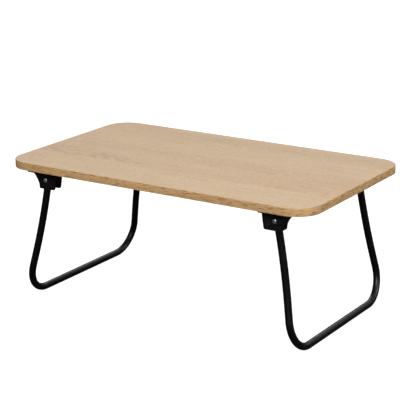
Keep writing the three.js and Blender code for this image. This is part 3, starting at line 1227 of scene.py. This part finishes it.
@dataclass
class Board:
    """The laminated board and the band round its edge."""

    corner_radius: float = 44.0
    band_thickness: float = 1.0
    arris: float = 0.55
    corner_steps: int = 28
    arris_steps: int = 4
    body: str = "top"

    def build(self) -> None:
        """Dresses the core and the laminates, and puts the band round them."""
        dress_node("top_laminate", OAK_TOP)
        dress_node("bottom_laminate", OAK_UNDERSIDE)
        dress_node("tabletop_core", BOARD_CORE)
        band = shade(self.band_mesh())
        place_piece("board_edge_band", band, Matrix.Identity(4), self.body, OAK_EDGE, "edge_band")

    def section(self, low: float, high: float) -> list[Point2]:
        """The band's section: (distance in from the outline, height), rounded at both arrises."""
        corners = [(self.band_thickness, low), (0.0, low), (0.0, high), (self.band_thickness, high)]
        return rounded(corners, [0.0, self.arris, self.arris, 0.0], self.arris_steps)

    def path(self, half_length: float, half_width: float) -> list[tuple[Point2, Point2, float]]:
        """The outline from the middle of the rear side round to it again.

        Args:
            half_length: Half of the board's length.
            half_width: Half of its width.

        Returns:
            For each point its place, its inward direction and its distance along the outline.
        """
        radius = self.corner_radius
        centres = [
            (half_length - radius, half_width - radius, 90.0),
            (half_length - radius, radius - half_width, 0.0),
            (radius - half_length, radius - half_width, -90.0),
            (radius - half_length, half_width - radius, -180.0),
        ]
        points: list[tuple[Point2, Point2]] = [((0.0, half_width), (0.0, -1.0))]
        for x, y, start in centres:
            for step in range(self.corner_steps + 1):
                angle = math.radians(start - 90.0 * step / self.corner_steps)
                out = (math.cos(angle), math.sin(angle))
                points.append(((x + radius * out[0], y + radius * out[1]), (-out[0], -out[1])))
        points.append(points[0])
        path = []
        travelled = 0.0
        for index, (place, inward) in enumerate(points):
            travelled += math.dist(place, points[index - 1][0]) if index else 0.0
            path.append((place, inward, travelled))
        return path

    def band_mesh(self) -> bpy.types.Mesh:
        """The band, with a map of the distances along it and across it in metres.

        Returns:
            The closed mesh.
        """
        low, high = (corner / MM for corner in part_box("edge_band"))
        section = self.section(low.z, high.z)
        path = self.path(high.x, high.y)
        work = bmesh.new()
        uv_layer = work.loops.layers.uv.new("BandUV")
        rings = []
        for (x, y), (inward_x, inward_y), _ in path[:-1]:
            ring = [work.verts.new((x + inward_x * depth, y + inward_y * depth, z)) for depth, z in section]
            rings.append(ring)
        across = [0.0]
        for index in range(len(section)):
            across.append(across[-1] + math.dist(section[index], section[(index + 1) % len(section)]))
        for index in range(len(rings)):
            here, there = rings[index], rings[(index + 1) % len(rings)]
            for spot in range(len(section)):
                beside = (spot + 1) % len(section)
                face = work.faces.new((here[spot], here[beside], there[beside], there[spot]))
                ends = [path[index][2], path[index][2], path[index + 1][2], path[index + 1][2]]
                heights = [across[spot], across[spot + 1], across[spot + 1], across[spot]]
                for loop, along, height in zip(face.loops, ends, heights):
                    loop[uv_layer].uv = (along * MM, height * MM)
        return finished_mesh("board_edge_band", work)


# ---------------------------------------------------------------- legs


@dataclass
class LegFrame:
    """A U-shaped leg of bent tube, with its end plugs and pivot bushes."""

    end: End
    tube_radius: float = TUBE_RADIUS
    bore_radius: float = 5.15
    splay: float = SPLAY
    stub: float = 7.0
    straight: float = 20.0
    curve_radius: float = 764.0
    flare: float = 9.0
    bend_radius: float = 48.0
    curve_steps: int = 20
    bend_steps: int = 28
    sides: int = 32
    bush_radius: float = 3.7
    bush_bore: float = 2.5
    bush_length: float = 13.1
    clearance: float = 0.12
    plug_cap: float = 1.3
    plug_cap_edge: float = 1.4
    plug_cap_crown: float = 0.9
    plug_ribs: int = 3
    rib_pitch: float = 0.8

    @property
    def body(self) -> str:
        """The moving body that the leg is."""
        return f"{self.end.label}_leg"

    @property
    def place(self) -> Matrix:
        """Carries leg coordinates, upright with the hinge axis along Y, to the open leg.

        Returns:
            The matrix.
        """
        pivot = Corner(self.end, Row.FRONT).pivot
        axis = Vector((pivot.x, 0.0, pivot.z))
        return Matrix.Translation(axis) @ self.end.turn @ spin(-self.splay, "Y")

    def build(self) -> None:
        """Makes the tube, and at each corner a plug and a bush."""
        tube = shade(self.tube_mesh())
        place_piece(f"{self.body}_bent_tube", tube, self.place, self.body, BLACK_TUBE, f"{self.body}_tube")
        plug = shade(self.plug_mesh())
        bush = shade(self.bush_mesh())
        for row in Row:
            corner = Corner(self.end, row)
            stand = self.place @ shift(0.0, corner.pivot.y * self.end.value, 0.0)
            label = corner.label
            place_piece(f"{label}_end_plug", plug, stand, self.body, BLACK_PLUG, f"{label}_tube_plug")
            hole = corner.pivot_place
            place_piece(f"{label}_bush_sleeve", bush, hole, self.body, NYLON, f"{label}_pivot_bush")

    def half_line(self) -> list[tuple[Vector, Vector]]:
        """Places and directions along half the centreline, from a limb's top to the crossbar's middle.

        Returns:
            The places and directions in order, in the leg's own plane.
        """
        pivot = Corner(self.end, Row.REAR).pivot
        limb = abs(pivot.y) / MM
        depth = (pivot.z / MM - self.tube_radius) / math.cos(math.radians(self.splay))
        spot = Vector((limb, self.stub))
        heading = -math.pi / 2
        line: list[tuple[Vector, Vector]] = []

        def note() -> None:
            """Keeps the present place and direction."""
            line.append((spot.copy(), Vector((math.cos(heading), math.sin(heading)))))

        def go(length: float, steps: int) -> None:
            """Goes straight on.

            Args:
                length: How far.
                steps: In how many steps.
            """
            for _ in range(steps):
                spot.x += math.cos(heading) * length / steps
                spot.y += math.sin(heading) * length / steps
                note()

        def bend(radius: float, turn: float, steps: int) -> None:
            """Goes round a bend, to the left for a positive turn.

            Args:
                radius: The bend's radius.
                turn: How far it turns, in radians.
                steps: In how many steps.
            """
            nonlocal heading
            side = math.copysign(1.0, turn)
            centre = spot + Vector((-math.sin(heading), math.cos(heading))) * radius * side
            for _ in range(steps):
                heading += turn / steps
                spot.x = centre.x + math.sin(heading) * radius * side
                spot.y = centre.y - math.cos(heading) * radius * side
                note()

        flare = math.radians(self.flare)
        note()
        go(self.stub + self.straight, 8)
        bend(self.curve_radius, flare, self.curve_steps)
        drop = depth + spot.y - self.bend_radius * (1 + math.sin(flare))
        go(drop / math.cos(flare), 4)
        bend(self.bend_radius, -(math.pi / 2 + flare), self.bend_steps)
        go(spot.x, 10)
        return line

    def tube_mesh(self) -> bpy.types.Mesh:
        """The bent tube, open at both ends and drilled for its bushes.

        Returns:
            The closed mesh.
        """
        half = self.half_line()
        back = [(Vector((-spot.x, spot.y)), Vector((way.x, -way.y))) for spot, way in half[-2::-1]]
        line = half + back
        work = bmesh.new()
        outer, inner = (self.skin(work, line, radius) for radius in (self.tube_radius, self.bore_radius))
        for tip in (0, -1):
            for side in range(self.sides):
                other = (side + 1) % self.sides
                work.faces.new((outer[tip][side], outer[tip][other], inner[tip][other], inner[tip][side]))
        tube = finished_mesh("bent_tube", work)
        limb, reach = line[0][0].x, 2 * self.tube_radius
        drills = []
        for y in (-limb, limb):
            drill = rod("bush_drill", self.bush_radius + self.clearance, -reach, reach)
            drills.append(moved(drill, shift(0.0, y, 0.0) @ spin(90, "X")))
        return combined("bent_tube", tube, drills, Operation.CUT)

    def skin(
        self, work: bmesh.types.BMesh, line: list[tuple[Vector, Vector]], radius: float
    ) -> list[list[bmesh.types.BMVert]]:
        """Sweeps one round skin along the centreline.

        Args:
            work: The mesh that it is added to.
            line: The centreline's places and directions in the leg's plane.
            radius: The skin's radius.

        Returns:
            The skin's rings of corners.
        """
        rings = []
        for spot, way in line:
            out = Vector((0.0, -way.y, way.x))
            ring = []
            for side in range(self.sides):
                angle = math.tau * side / self.sides
                centre = Vector((0.0, spot.x, spot.y))
                reach = out * math.cos(angle) + Vector((1.0, 0.0, 0.0)) * math.sin(angle)
                ring.append(work.verts.new(centre + reach * radius))
            rings.append(ring)
        for here, there in zip(rings, rings[1:]):
            for side in range(self.sides):
                other = (side + 1) % self.sides
                work.faces.new((here[side], here[other], there[other], there[side]))
        return rings

    def plug_mesh(self) -> bpy.types.Mesh:
        """A push-in plug with a domed cap and gripping ribs round its shank.

        Returns:
            The closed mesh.
        """
        seat = self.stub + 0.05
        top = self.stub + 0.3 + self.plug_cap
        shank = self.bore_radius - 0.7
        rim = self.tube_radius - 0.3
        foot = self.bush_radius + 0.6
        profile = [(0.0, foot), (shank - 0.5, foot), (shank, foot + 0.4)]
        for rib in range(self.plug_ribs):
            low = foot + 0.6 + self.rib_pitch * rib
            profile += [(shank, low), (self.bore_radius - 0.08, low + 0.2), (shank, low + 0.55)]
        profile += [(shank, seat), (rim - 0.1, seat), (rim, seat + 0.1)]
        for step in range(7):
            angle = math.radians(15 * step)
            reach = rim - self.plug_cap_edge + self.plug_cap_edge * math.cos(angle)
            profile.append((reach, top - self.plug_cap_crown + self.plug_cap_crown * math.sin(angle)))
        profile.append((0.0, top))
        return turned("end_plug", profile, 32)

    def bush_mesh(self) -> bpy.types.Mesh:
        """A nylon sleeve with its edges rounded.

        Returns:
            The closed mesh.
        """
        half = self.bush_length / 2
        corners = [
            (self.bush_bore, -half),
            (self.bush_radius, -half),
            (self.bush_radius, half),
            (self.bush_bore, half),
        ]
        return turned("bush_sleeve", rounded(corners, [0.3] * 4, 3), 40)


# ---------------------------------------------------------------- hinges


@dataclass
class HingeBracket:
    """The moulded bracket that a limb swings in: z = 0 on the board, +X towards the table's end."""

    flange_inner: float = 25.0
    flange_outer: float = 29.0
    flange_width: float = 48.0
    flange_thickness: float = FLANGE_THICKNESS
    flange_bevel: float = 2.5
    flange_edge: float = 1.5
    flange_corner: float = 4.0
    housing_width: float = 19.0
    housing_depth: float = 34.9
    housing_inner_top: float = 24.6
    housing_inner_low: float = 19.6
    housing_inner_round: float = 4.0
    housing_outer: float = 12.8
    housing_outer_round: float = 2.0
    flare_start: Point2 = (13.1, -30.2)
    flare_pull: Point2 = (13.5, -20.0)
    flare_end: Point2 = (29.0, -4.5)
    pivot_drop: float = 19.5
    slot_width: float = 13.7
    splay: float = SPLAY
    limb_radius: float = TUBE_RADIUS
    limb_top: float = 8.6
    clearance: float = 0.3
    hole_radius: float = 2.7
    recess_radius: float = 5.3
    recess_depth: float = 0.8
    screw_shank: float = 2.2
    screw_head: float = 3.9
    screw_head_height: float = SCREW_HEAD_HEIGHT
    edge_round: float = 0.45
    body: str = "top"

    def build(self) -> None:
        """Makes the bracket once and puts it at each corner."""
        moulding = shade(self.moulding(), 40.0)
        for corner in CORNERS:
            name = f"{corner.label}_bracket_moulding"
            stands_for = f"{corner.label}_hinge_bracket"
            place_piece(name, moulding, corner.bracket_place, self.body, BLACK_PLASTIC, stands_for)

    def flange(self) -> bpy.types.Mesh:
        """The flange, rounded in plan and bevelled at its two ends.

        Returns:
            The closed mesh.
        """
        half = self.flange_width / 2
        plan_corners = [
            (-self.flange_inner, -half),
            (self.flange_outer, -half),
            (self.flange_outer, half),
            (-self.flange_inner, half),
        ]
        outline = rounded(plan_corners, [self.flange_corner] * 4, 8)
        plan = prism("flange_plan", outline, -self.flange_thickness - 1, 1.0)
        low = -self.flange_thickness
        side = [
            (-self.flange_inner - 1, 0.0),
            (-self.flange_inner - 1, -self.flange_edge + 1),
            (-self.flange_inner, -self.flange_edge),
            (-self.flange_inner + self.flange_bevel, low),
            (self.flange_outer - self.flange_bevel, low),
            (self.flange_outer, -self.flange_edge),
            (self.flange_outer + 1, -self.flange_edge + 1),
            (self.flange_outer + 1, 0.0),
        ]
        bevelled = side_slab("flange_side", side, self.flange_width + 2)
        return combined("flange", plan, [bevelled], Operation.COMMON)

    def housing(self) -> bpy.types.Mesh:
        """The housing, drawn in a little on its way down, and swept out to the flange's outer end.

        Returns:
            The closed mesh.
        """
        top = -self.flange_edge
        bottom = -self.housing_depth
        corners = [
            (self.flange_outer, top),
            (-self.housing_inner_top, top),
            (-self.housing_inner_low, bottom),
            (self.housing_outer, bottom),
            self.flare_start,
        ]
        outline = rounded(corners, [0.0, 0.0, self.housing_inner_round, self.housing_outer_round, 0.0], 8)
        outline += quadratic(self.flare_start, self.flare_pull, self.flare_end, 14)[1:]
        return side_slab("housing", outline, self.housing_width)

    def slot(self) -> bpy.types.Mesh:
        """The slot that the limb swings in, open inwards and below, whose outer wall is the stop.

        Returns:
            The cutter.
        """
        beyond = 5.0
        below = -self.housing_depth - beyond
        sweep = math.hypot(self.limb_top, self.limb_radius - self.clearance) + self.clearance
        ceiling = sweep - self.pivot_drop
        sweep_low = -self.pivot_drop - self.limb_radius - self.clearance
        lean = math.tan(math.radians(self.splay))
        face = self.limb_radius / math.cos(math.radians(self.splay)) + self.clearance
        stop_top = sweep_low - (sweep - face) / 2
        corners = [
            (-self.flange_inner - beyond, ceiling),
            (sweep, ceiling),
            (sweep, sweep_low),
            (face - (stop_top + self.pivot_drop) * lean, stop_top),
            (face - (below + self.pivot_drop) * lean, below),
            (-self.flange_inner - beyond, below),
        ]
        radii = [0.0, sweep * 0.6, 0.0, 0.0, 0.0, 0.0]
        return side_slab("limb_slot", rounded(corners, radii, 8), self.slot_width)

    def pivot_cutters(self) -> list[bpy.types.Mesh]:
        """The pivot hole and the shallow round recess at each of its ends.

        Returns:
            The three cutters.
        """
        face = self.housing_width / 2
        seat = face - self.recess_depth
        spans = [
            (self.hole_radius, -face - 1, face + 1),
            (self.recess_radius, seat, face + 1),
            (self.recess_radius, -face - 1, -seat),
        ]
        lay = shift(0.0, 0.0, -self.pivot_drop) @ spin(90, "X")
        return [moved(rod("pivot_hole", *span), lay) for span in spans]

    def screw_cutters(self) -> list[bpy.types.Mesh]:
        """The four countersunk holes in the flange.

        Returns:
            The four cutters.
        """
        low = -self.flange_thickness
        cone = low + self.screw_head_height + self.clearance
        mouth = low + self.clearance
        profile = [(0, low - 1), (self.screw_head, low - 1), (self.screw_head, mouth)]
        profile += [(self.screw_shank, cone), (self.screw_shank, 1.0), (0, 1.0)]
        return [moved(turned("countersunk_hole", profile, 32), shift(u, v, 0.0)) for u, v in SCREW_SPOTS]

    def moulding(self) -> bpy.types.Mesh:
        """The whole bracket with its edges rounded.

        Returns:
            The closed mesh.
        """
        solid = combined("bracket_moulding", self.flange(), [self.housing()], Operation.JOIN)
        cutters = [self.slot(), *self.pivot_cutters(), *self.screw_cutters()]
        solid = combined("bracket_moulding", solid, cutters, Operation.CUT)
        return softened(solid, self.edge_round, 3, 35.0)


@dataclass
class PivotSet:
    """A pivot's domed screw, washer and lock nut: z = 0 in the limb's middle, the head at +Z."""

    head_seat: float = 8.7
    head_radius: float = 4.25
    head_height: float = 2.2
    head_rim: float = 0.6
    shank_radius: float = 2.4
    thread: Thread = Thread(pitch=0.8, depth=0.32, steepness=1.0, run_out=0.4)
    thread_length: float = 8.0
    recess: CrossRecess = CrossRecess()
    washer_radius: float = 5.0
    washer_hole: float = 2.7
    washer_thickness: float = 1.0
    nut_across_flats: float = 8.0
    nut_height: float = 3.4
    nut_bore: float = 2.5
    collar_radius: float = 3.6
    collar_height: float = 1.4
    collar_roll: float = 0.6
    insert_radius: float = 3.0
    insert_height: float = 1.0
    screw_showing: float = 1.0
    body: str = "top"

    @property
    def nut_seat(self) -> float:
        """Where the nut lies on the washer."""
        return -self.head_seat - self.washer_thickness

    @property
    def collar_end(self) -> float:
        """The outer end of the nut's collar."""
        return self.nut_seat - self.nut_height - self.collar_height

    def build(self) -> None:
        """Makes the fasteners once and puts them at each corner."""
        screw = shade(self.screw_mesh(), 40.0)
        washer = shade(self.washer_mesh())
        nut = shade(self.nut_mesh(), 25.0)
        insert = shade(self.insert_mesh())
        for corner in CORNERS:
            label, place = corner.label, corner.pivot_place
            place_piece(f"{label}_domed_screw", screw, place, self.body, ZINC, f"{label}_pivot_screw")
            place_piece(f"{label}_plain_washer", washer, place, self.body, ZINC, f"{label}_pivot_washer")
            place_piece(f"{label}_hex_lock_nut", nut, place, self.body, ZINC, f"{label}_lock_nut")
            place_piece(f"{label}_nut_insert", insert, place, self.body, NYLON, None)

    def screw_mesh(self) -> bpy.types.Mesh:
        """The screw, threaded at its nut end and cross-recessed in its domed head.

        Returns:
            The closed mesh.
        """
        tip = self.collar_end - self.screw_showing
        thread_top = tip + self.thread_length
        profile = [(0.0, tip), (self.shank_radius - 0.35, tip)]
        steps = round(self.thread_length / self.thread.pitch) * 8
        for step in range(steps + 1):
            profile.append((self.shank_radius, tip + 0.25 + (self.thread_length - 0.5) * step / steps))
        profile += [(self.shank_radius, self.head_seat), (self.head_radius - 0.15, self.head_seat)]
        profile.append((self.head_radius, self.head_seat + 0.15))
        dome = self.head_height - self.head_rim
        for step in range(12):
            angle = math.radians(90 * step / 12)
            height = self.head_seat + self.head_rim + dome * math.sin(angle)
            profile.append((self.head_radius * math.cos(angle), height))
        profile.append((0.0, self.head_seat + self.head_height))
        body = turned("domed_screw", profile, 32, self.thread.groove(tip, tip + 0.2, thread_top - 0.3))
        recess = moved(self.recess.cutter(), shift(0.0, 0.0, self.head_seat + self.head_height))
        return combined("domed_screw", body, [recess], Operation.CUT)

    def washer_mesh(self) -> bpy.types.Mesh:
        """A stamped washer with one side's edges rolled over.

        Returns:
            The closed mesh.
        """
        low, high = self.nut_seat, -self.head_seat
        corners = [(self.washer_hole, low), (self.washer_radius, low), (self.washer_radius, high)]
        corners.append((self.washer_hole, high))
        return turned("plain_washer", rounded(corners, [0.25, 0.3, 0.08, 0.08], 4), 48)

    def nut_mesh(self) -> bpy.types.Mesh:
        """A hexagon with chamfered corners and a rolled collar that holds the nylon insert.

        Returns:
            The closed mesh.
        """
        seat, end, collar = self.nut_seat, self.nut_seat - self.nut_height, self.collar_end
        corner = self.nut_across_flats / 2 / math.cos(math.pi / 6)
        angles = [math.pi * side / 3 for side in range(6)]
        hexagon = [(corner * math.cos(angle), corner * math.sin(angle)) for angle in angles]
        flat = self.nut_across_flats / 2 - 0.1
        chamfer = (corner - flat) * math.tan(math.radians(30))
        barrel = [(0.0, end), (flat, end), (corner, end + chamfer)]
        barrel += [(corner, seat - chamfer), (flat, seat), (0.0, seat)]
        body = prism("hexagon", hexagon, end - 1, seat + 1)
        body = combined("nut_body", body, [turned("barrel", barrel, 64)], Operation.COMMON)
        collar_top = seat - 0.5
        rolled = [(0.0, collar), (self.collar_radius, collar)]
        rolled += [(self.collar_radius, collar_top), (0.0, collar_top)]
        rolled = rounded(rolled, [0.0, self.collar_roll, 0.0, 0.0], 6)
        body = combined("nut_body", body, [turned("collar", rolled, 48)], Operation.JOIN)
        bore = rod("nut_bore", self.nut_bore, collar - 1, seat + 1)
        pocket = rod("insert_pocket", self.insert_radius, collar - 1, collar + self.insert_height + 0.1)
        mouth_profile = [(0.0, seat - 0.35), (self.nut_bore, seat - 0.35), (self.nut_bore + 0.45, seat + 0.1)]
        mouth = turned("nut_mouth", [*mouth_profile, (0.0, seat + 0.1)], 40)
        return combined("hex_lock_nut", body, [bore, pocket, mouth], Operation.CUT)

    def insert_mesh(self) -> bpy.types.Mesh:
        """The nut's nylon ring, a little below the collar's lip.

        Returns:
            The closed mesh.
        """
        low = self.collar_end + 0.15
        high = self.collar_end + self.insert_height
        outer = self.insert_radius - 0.03
        corners = [(self.nut_bore, low), (outer, low), (outer, high), (self.nut_bore, high)]
        return turned("nut_insert", rounded(corners, [0.2, 0.1, 0.05, 0.05], 3), 40)


@dataclass
class MountingScrews:
    """The countersunk wood screws that hold the brackets: point up, z = 0 on the board."""

    flange_thickness: float = FLANGE_THICKNESS
    length: float = 12.0
    shank_radius: float = 1.9
    head_radius: float = 3.6
    head_height: float = SCREW_HEAD_HEIGHT
    point_length: float = 2.5
    turn_between: float = 37.0
    thread: Thread = Thread(pitch=1.2, depth=0.45, steepness=1.6, run_out=2.5)
    recess: CrossRecess = CrossRecess()
    body: str = "top"

    def build(self) -> None:
        """Makes the screw once and puts four at each corner, each turned a little differently."""
        screw = shade(self.screw_mesh(), 40.0)
        for corner in CORNERS:
            for number, (u, v) in enumerate(SCREW_SPOTS, start=1):
                turn = spin(self.turn_between * number, "Z")
                place = corner.bracket_place @ shift(u * MM, v * MM, 0.0) @ turn
                name = f"{corner.label}_wood_screw_{number}"
                stands_for = f"{corner.label}_mounting_screw_{number}"
                place_piece(name, screw, place, self.body, ZINC, stands_for)

    def screw_mesh(self) -> bpy.types.Mesh:
        """The screw, with a flat head, a coarse thread and a cross recess.

        Returns:
            The closed mesh.
        """
        bottom = -self.flange_thickness
        tip = bottom + self.length
        neck = bottom + self.head_height
        profile = [(0.0, bottom), (self.head_radius - 0.12, bottom), (self.head_radius, bottom + 0.12)]
        profile += [(self.head_radius, bottom + 0.3), (self.shank_radius, neck)]
        shoulder = tip - self.point_length
        steps = round((shoulder - neck) / self.thread.pitch * 8)
        for step in range(1, steps + 1):
            profile.append((self.shank_radius, neck + (shoulder - neck) * step / steps))
        for step in range(1, 10):
            share = step / 10
            profile.append((self.shank_radius * (1 - share**2), shoulder + self.point_length * share))
        profile.append((0.0, tip))
        body = turned("wood_screw", profile, 24, self.thread.groove(bottom, neck + 0.3, tip))
        recess = moved(self.recess.cutter(), shift(0.0, 0.0, bottom) @ spin(180, "X"))
        return combined("wood_screw", body, [recess], Operation.CUT)


# ---------------------------------------------------------------- studio


@dataclass(frozen=True)
class SoftBox:
    """A rectangular studio light.

    Attributes:
        name: The light's name.
        azimuth: Where it stands round the table, in degrees from +X towards +Y.
        elevation: How high it stands, in degrees above the floor.
        distance: How far it stands from its target, in metres.
        size: Its width and height in metres.
        power: Its power in watts.
    """

    name: str
    azimuth: float
    elevation: float
    distance: float
    size: Point2
    power: float

    def build(self, target: Vector) -> None:
        """Stands the light in its place and turns it to the target.

        Args:
            target: The point that it lights.
        """
        light = bpy.data.lights.new(self.name, "AREA")
        light.shape = "RECTANGLE"
        light.size, light.size_y = self.size
        light.energy = self.power
        stand = bpy.data.objects.new(self.name, light)
        turn, lift = math.radians(self.azimuth), math.radians(self.elevation)
        away = Vector((math.cos(turn) * math.cos(lift), math.sin(turn) * math.cos(lift), math.sin(lift)))
        stand.location = target + away * self.distance
        stand.rotation_euler = (-away).to_track_quat("-Z", "Y").to_euler()
        bpy.context.scene.collection.objects.link(stand)
        log.info("%s: %.0f W", self.name, self.power)


@dataclass
class Studio:
    """The pale floor, the soft light and the camera."""

    camera_place: tuple[float, float, float] = (1.283594, -2.021365, 0.889613)
    camera_heading: float = 32.568
    camera_dip: float = 16.447
    camera_roll: float = -0.264
    lens: float = 128.18
    sensor: float = 36.0
    floor_radius: float = 14.0
    floor_sides: int = 96
    sky_low: float = 0.06
    sky_high: float = 0.95
    backdrop: float = 1.06
    floor_bounce: Colour = (0.3, 0.3, 0.3, 1.0)
    floor_in_gloss: Colour = (0.05, 0.05, 0.05, 1.0)
    floor_glow: float = 0.92
    boxes: tuple[SoftBox, ...] = (
        SoftBox("key_box", -64.0, 36.0, 4.0, (2.2, 1.8), 128.0),
        SoftBox("side_box", 16.0, 26.0, 4.4, (1.8, 1.4), 62.0),
        SoftBox("back_box", 122.0, 32.0, 3.4, (2.4, 0.9), 22.0),
        SoftBox("rear_side_box", 80.0, 22.0, 3.4, (2.6, 2.0), 8.0),
    )

    def build(self) -> None:
        """Sets up the whole studio."""
        low, high = cad_box
        target = (low + high) / 2
        for box in self.boxes:
            box.build(target)
        self.build_sky()
        self.build_floor()
        self.build_camera()
        bpy.context.scene.view_settings.view_transform = "Standard"

    def build_sky(self) -> None:
        """A soft dome, brightest overhead, in whose place the camera sees plain white."""
        world = bpy.data.worlds.new("soft_dome")
        world.use_nodes = True
        bpy.context.scene.world = world
        bench = NodeBench(world.node_tree)
        way = bench.add("ShaderNodeTexCoord").outputs["Generated"]
        lift = bench.maths("MAXIMUM", bench.parts(way)[2], 0.0)
        steep = bench.times(lift, lift)
        glow = bench.maths("MULTIPLY_ADD", steep, self.sky_high - self.sky_low, self.sky_low)
        dome = bench.add("ShaderNodeBackground", {"Strength": glow}).outputs[0]
        plain = bench.add("ShaderNodeBackground", {"Strength": self.backdrop}).outputs[0]
        for lamp in world.node_tree.nodes:
            if lamp.type == "BACKGROUND":
                lamp.inputs["Color"].default_value = (1.0, 1.0, 1.0, 1.0)
        seen = bench.add("ShaderNodeLightPath").outputs["Is Camera Ray"]
        both = bench.add("ShaderNodeMixShader", {0: seen, 1: dome, 2: plain}).outputs[0]
        bench.feed(world.node_tree.nodes["World Output"].inputs[0], both)

    def build_floor(self) -> None:
        """A wide round floor that fades into the backdrop, and shows nothing of itself from below."""
        work = bmesh.new()
        rim = []
        for side in range(self.floor_sides):
            angle = math.tau * side / self.floor_sides
            x, y = self.floor_radius * math.cos(angle), self.floor_radius * math.sin(angle)
            rim.append(work.verts.new((x, y, 0.0)))
        work.faces.new(rim)
        mesh = bpy.data.meshes.new("studio_floor")
        work.to_mesh(mesh)
        work.free()
        floor = bpy.data.objects.new("studio_floor", mesh)
        bpy.context.scene.collection.objects.link(floor)
        mesh.materials.append(self.floor_paint())
        log.info("studio_floor: %.0f m across", 2 * self.floor_radius)

    def floor_paint(self) -> bpy.types.Material:
        """The floor's paint: white to the camera, pale to the table, and dim in reflections.

        Returns:
            The material.
        """
        material = bpy.data.materials.new("studio_floor")
        material.use_nodes = True
        tree = material.node_tree
        bench = NodeBench(tree)
        bounce = bench.add("ShaderNodeBsdfDiffuse", {"Color": self.floor_bounce}).outputs[0]
        dim = bench.add("ShaderNodeBsdfDiffuse", {"Color": self.floor_in_gloss}).outputs[0]
        glow = bench.add("ShaderNodeEmission", {"Strength": self.floor_glow}).outputs[0]
        white = bench.add("ShaderNodeAddShader", {0: bounce, 1: glow}).outputs[0]
        clear = bench.add("ShaderNodeBsdfTransparent").outputs[0]
        ray = bench.add("ShaderNodeLightPath").outputs
        behind = bench.add("ShaderNodeNewGeometry").outputs["Backfacing"]
        to_camera = bench.add("ShaderNodeMixShader", {0: behind, 1: white, 2: clear}).outputs[0]
        gloss_or_not = {0: ray["Is Glossy Ray"], 1: bounce, 2: dim}
        to_table = bench.add("ShaderNodeMixShader", gloss_or_not).outputs[0]
        camera_or_not = {0: ray["Is Camera Ray"], 1: to_table, 2: to_camera}
        both = bench.add("ShaderNodeMixShader", camera_or_not).outputs[0]
        bench.feed(tree.nodes["Material Output"].inputs[0], both)
        return material

    def build_camera(self) -> None:
        """The camera, in front and to the right of the table, looking down at it."""
        turn, dip = math.radians(self.camera_heading), math.radians(self.camera_dip)
        look = Vector((-math.sin(turn) * math.cos(dip), math.cos(turn) * math.cos(dip), -math.sin(dip)))
        right = Vector((math.cos(turn), math.sin(turn), 0.0))
        roll = Matrix.Rotation(math.radians(self.camera_roll), 3, "Z")
        axes = Matrix((right, right.cross(look), -look)).transposed() @ roll
        data = bpy.data.cameras.new("studio_camera")
        data.lens = self.lens
        data.sensor_width = self.sensor
        data.clip_end = 100.0
        camera = bpy.data.objects.new("studio_camera", data)
        camera.matrix_world = Matrix.Translation(self.camera_place) @ axes.to_4x4()
        bpy.context.scene.collection.objects.link(camera)
        bpy.context.scene.camera = camera
        log.info("studio_camera: %.1f mm lens", self.lens)


def main() -> None:
    """Builds the table piece by piece, and the studio round it."""
    logging.basicConfig(level=logging.INFO, format="%(name)s: %(message)s")
    legs = [LegFrame(end) for end in End]
    assemblies = [Studio(), Board(), *legs, HingeBracket(), PivotSet(), MountingScrews()]
    for assembly in assemblies:
        assembly.build()
        log.info("%s: built", type(assembly).__name__)


if __name__ == "__main__":
    main()
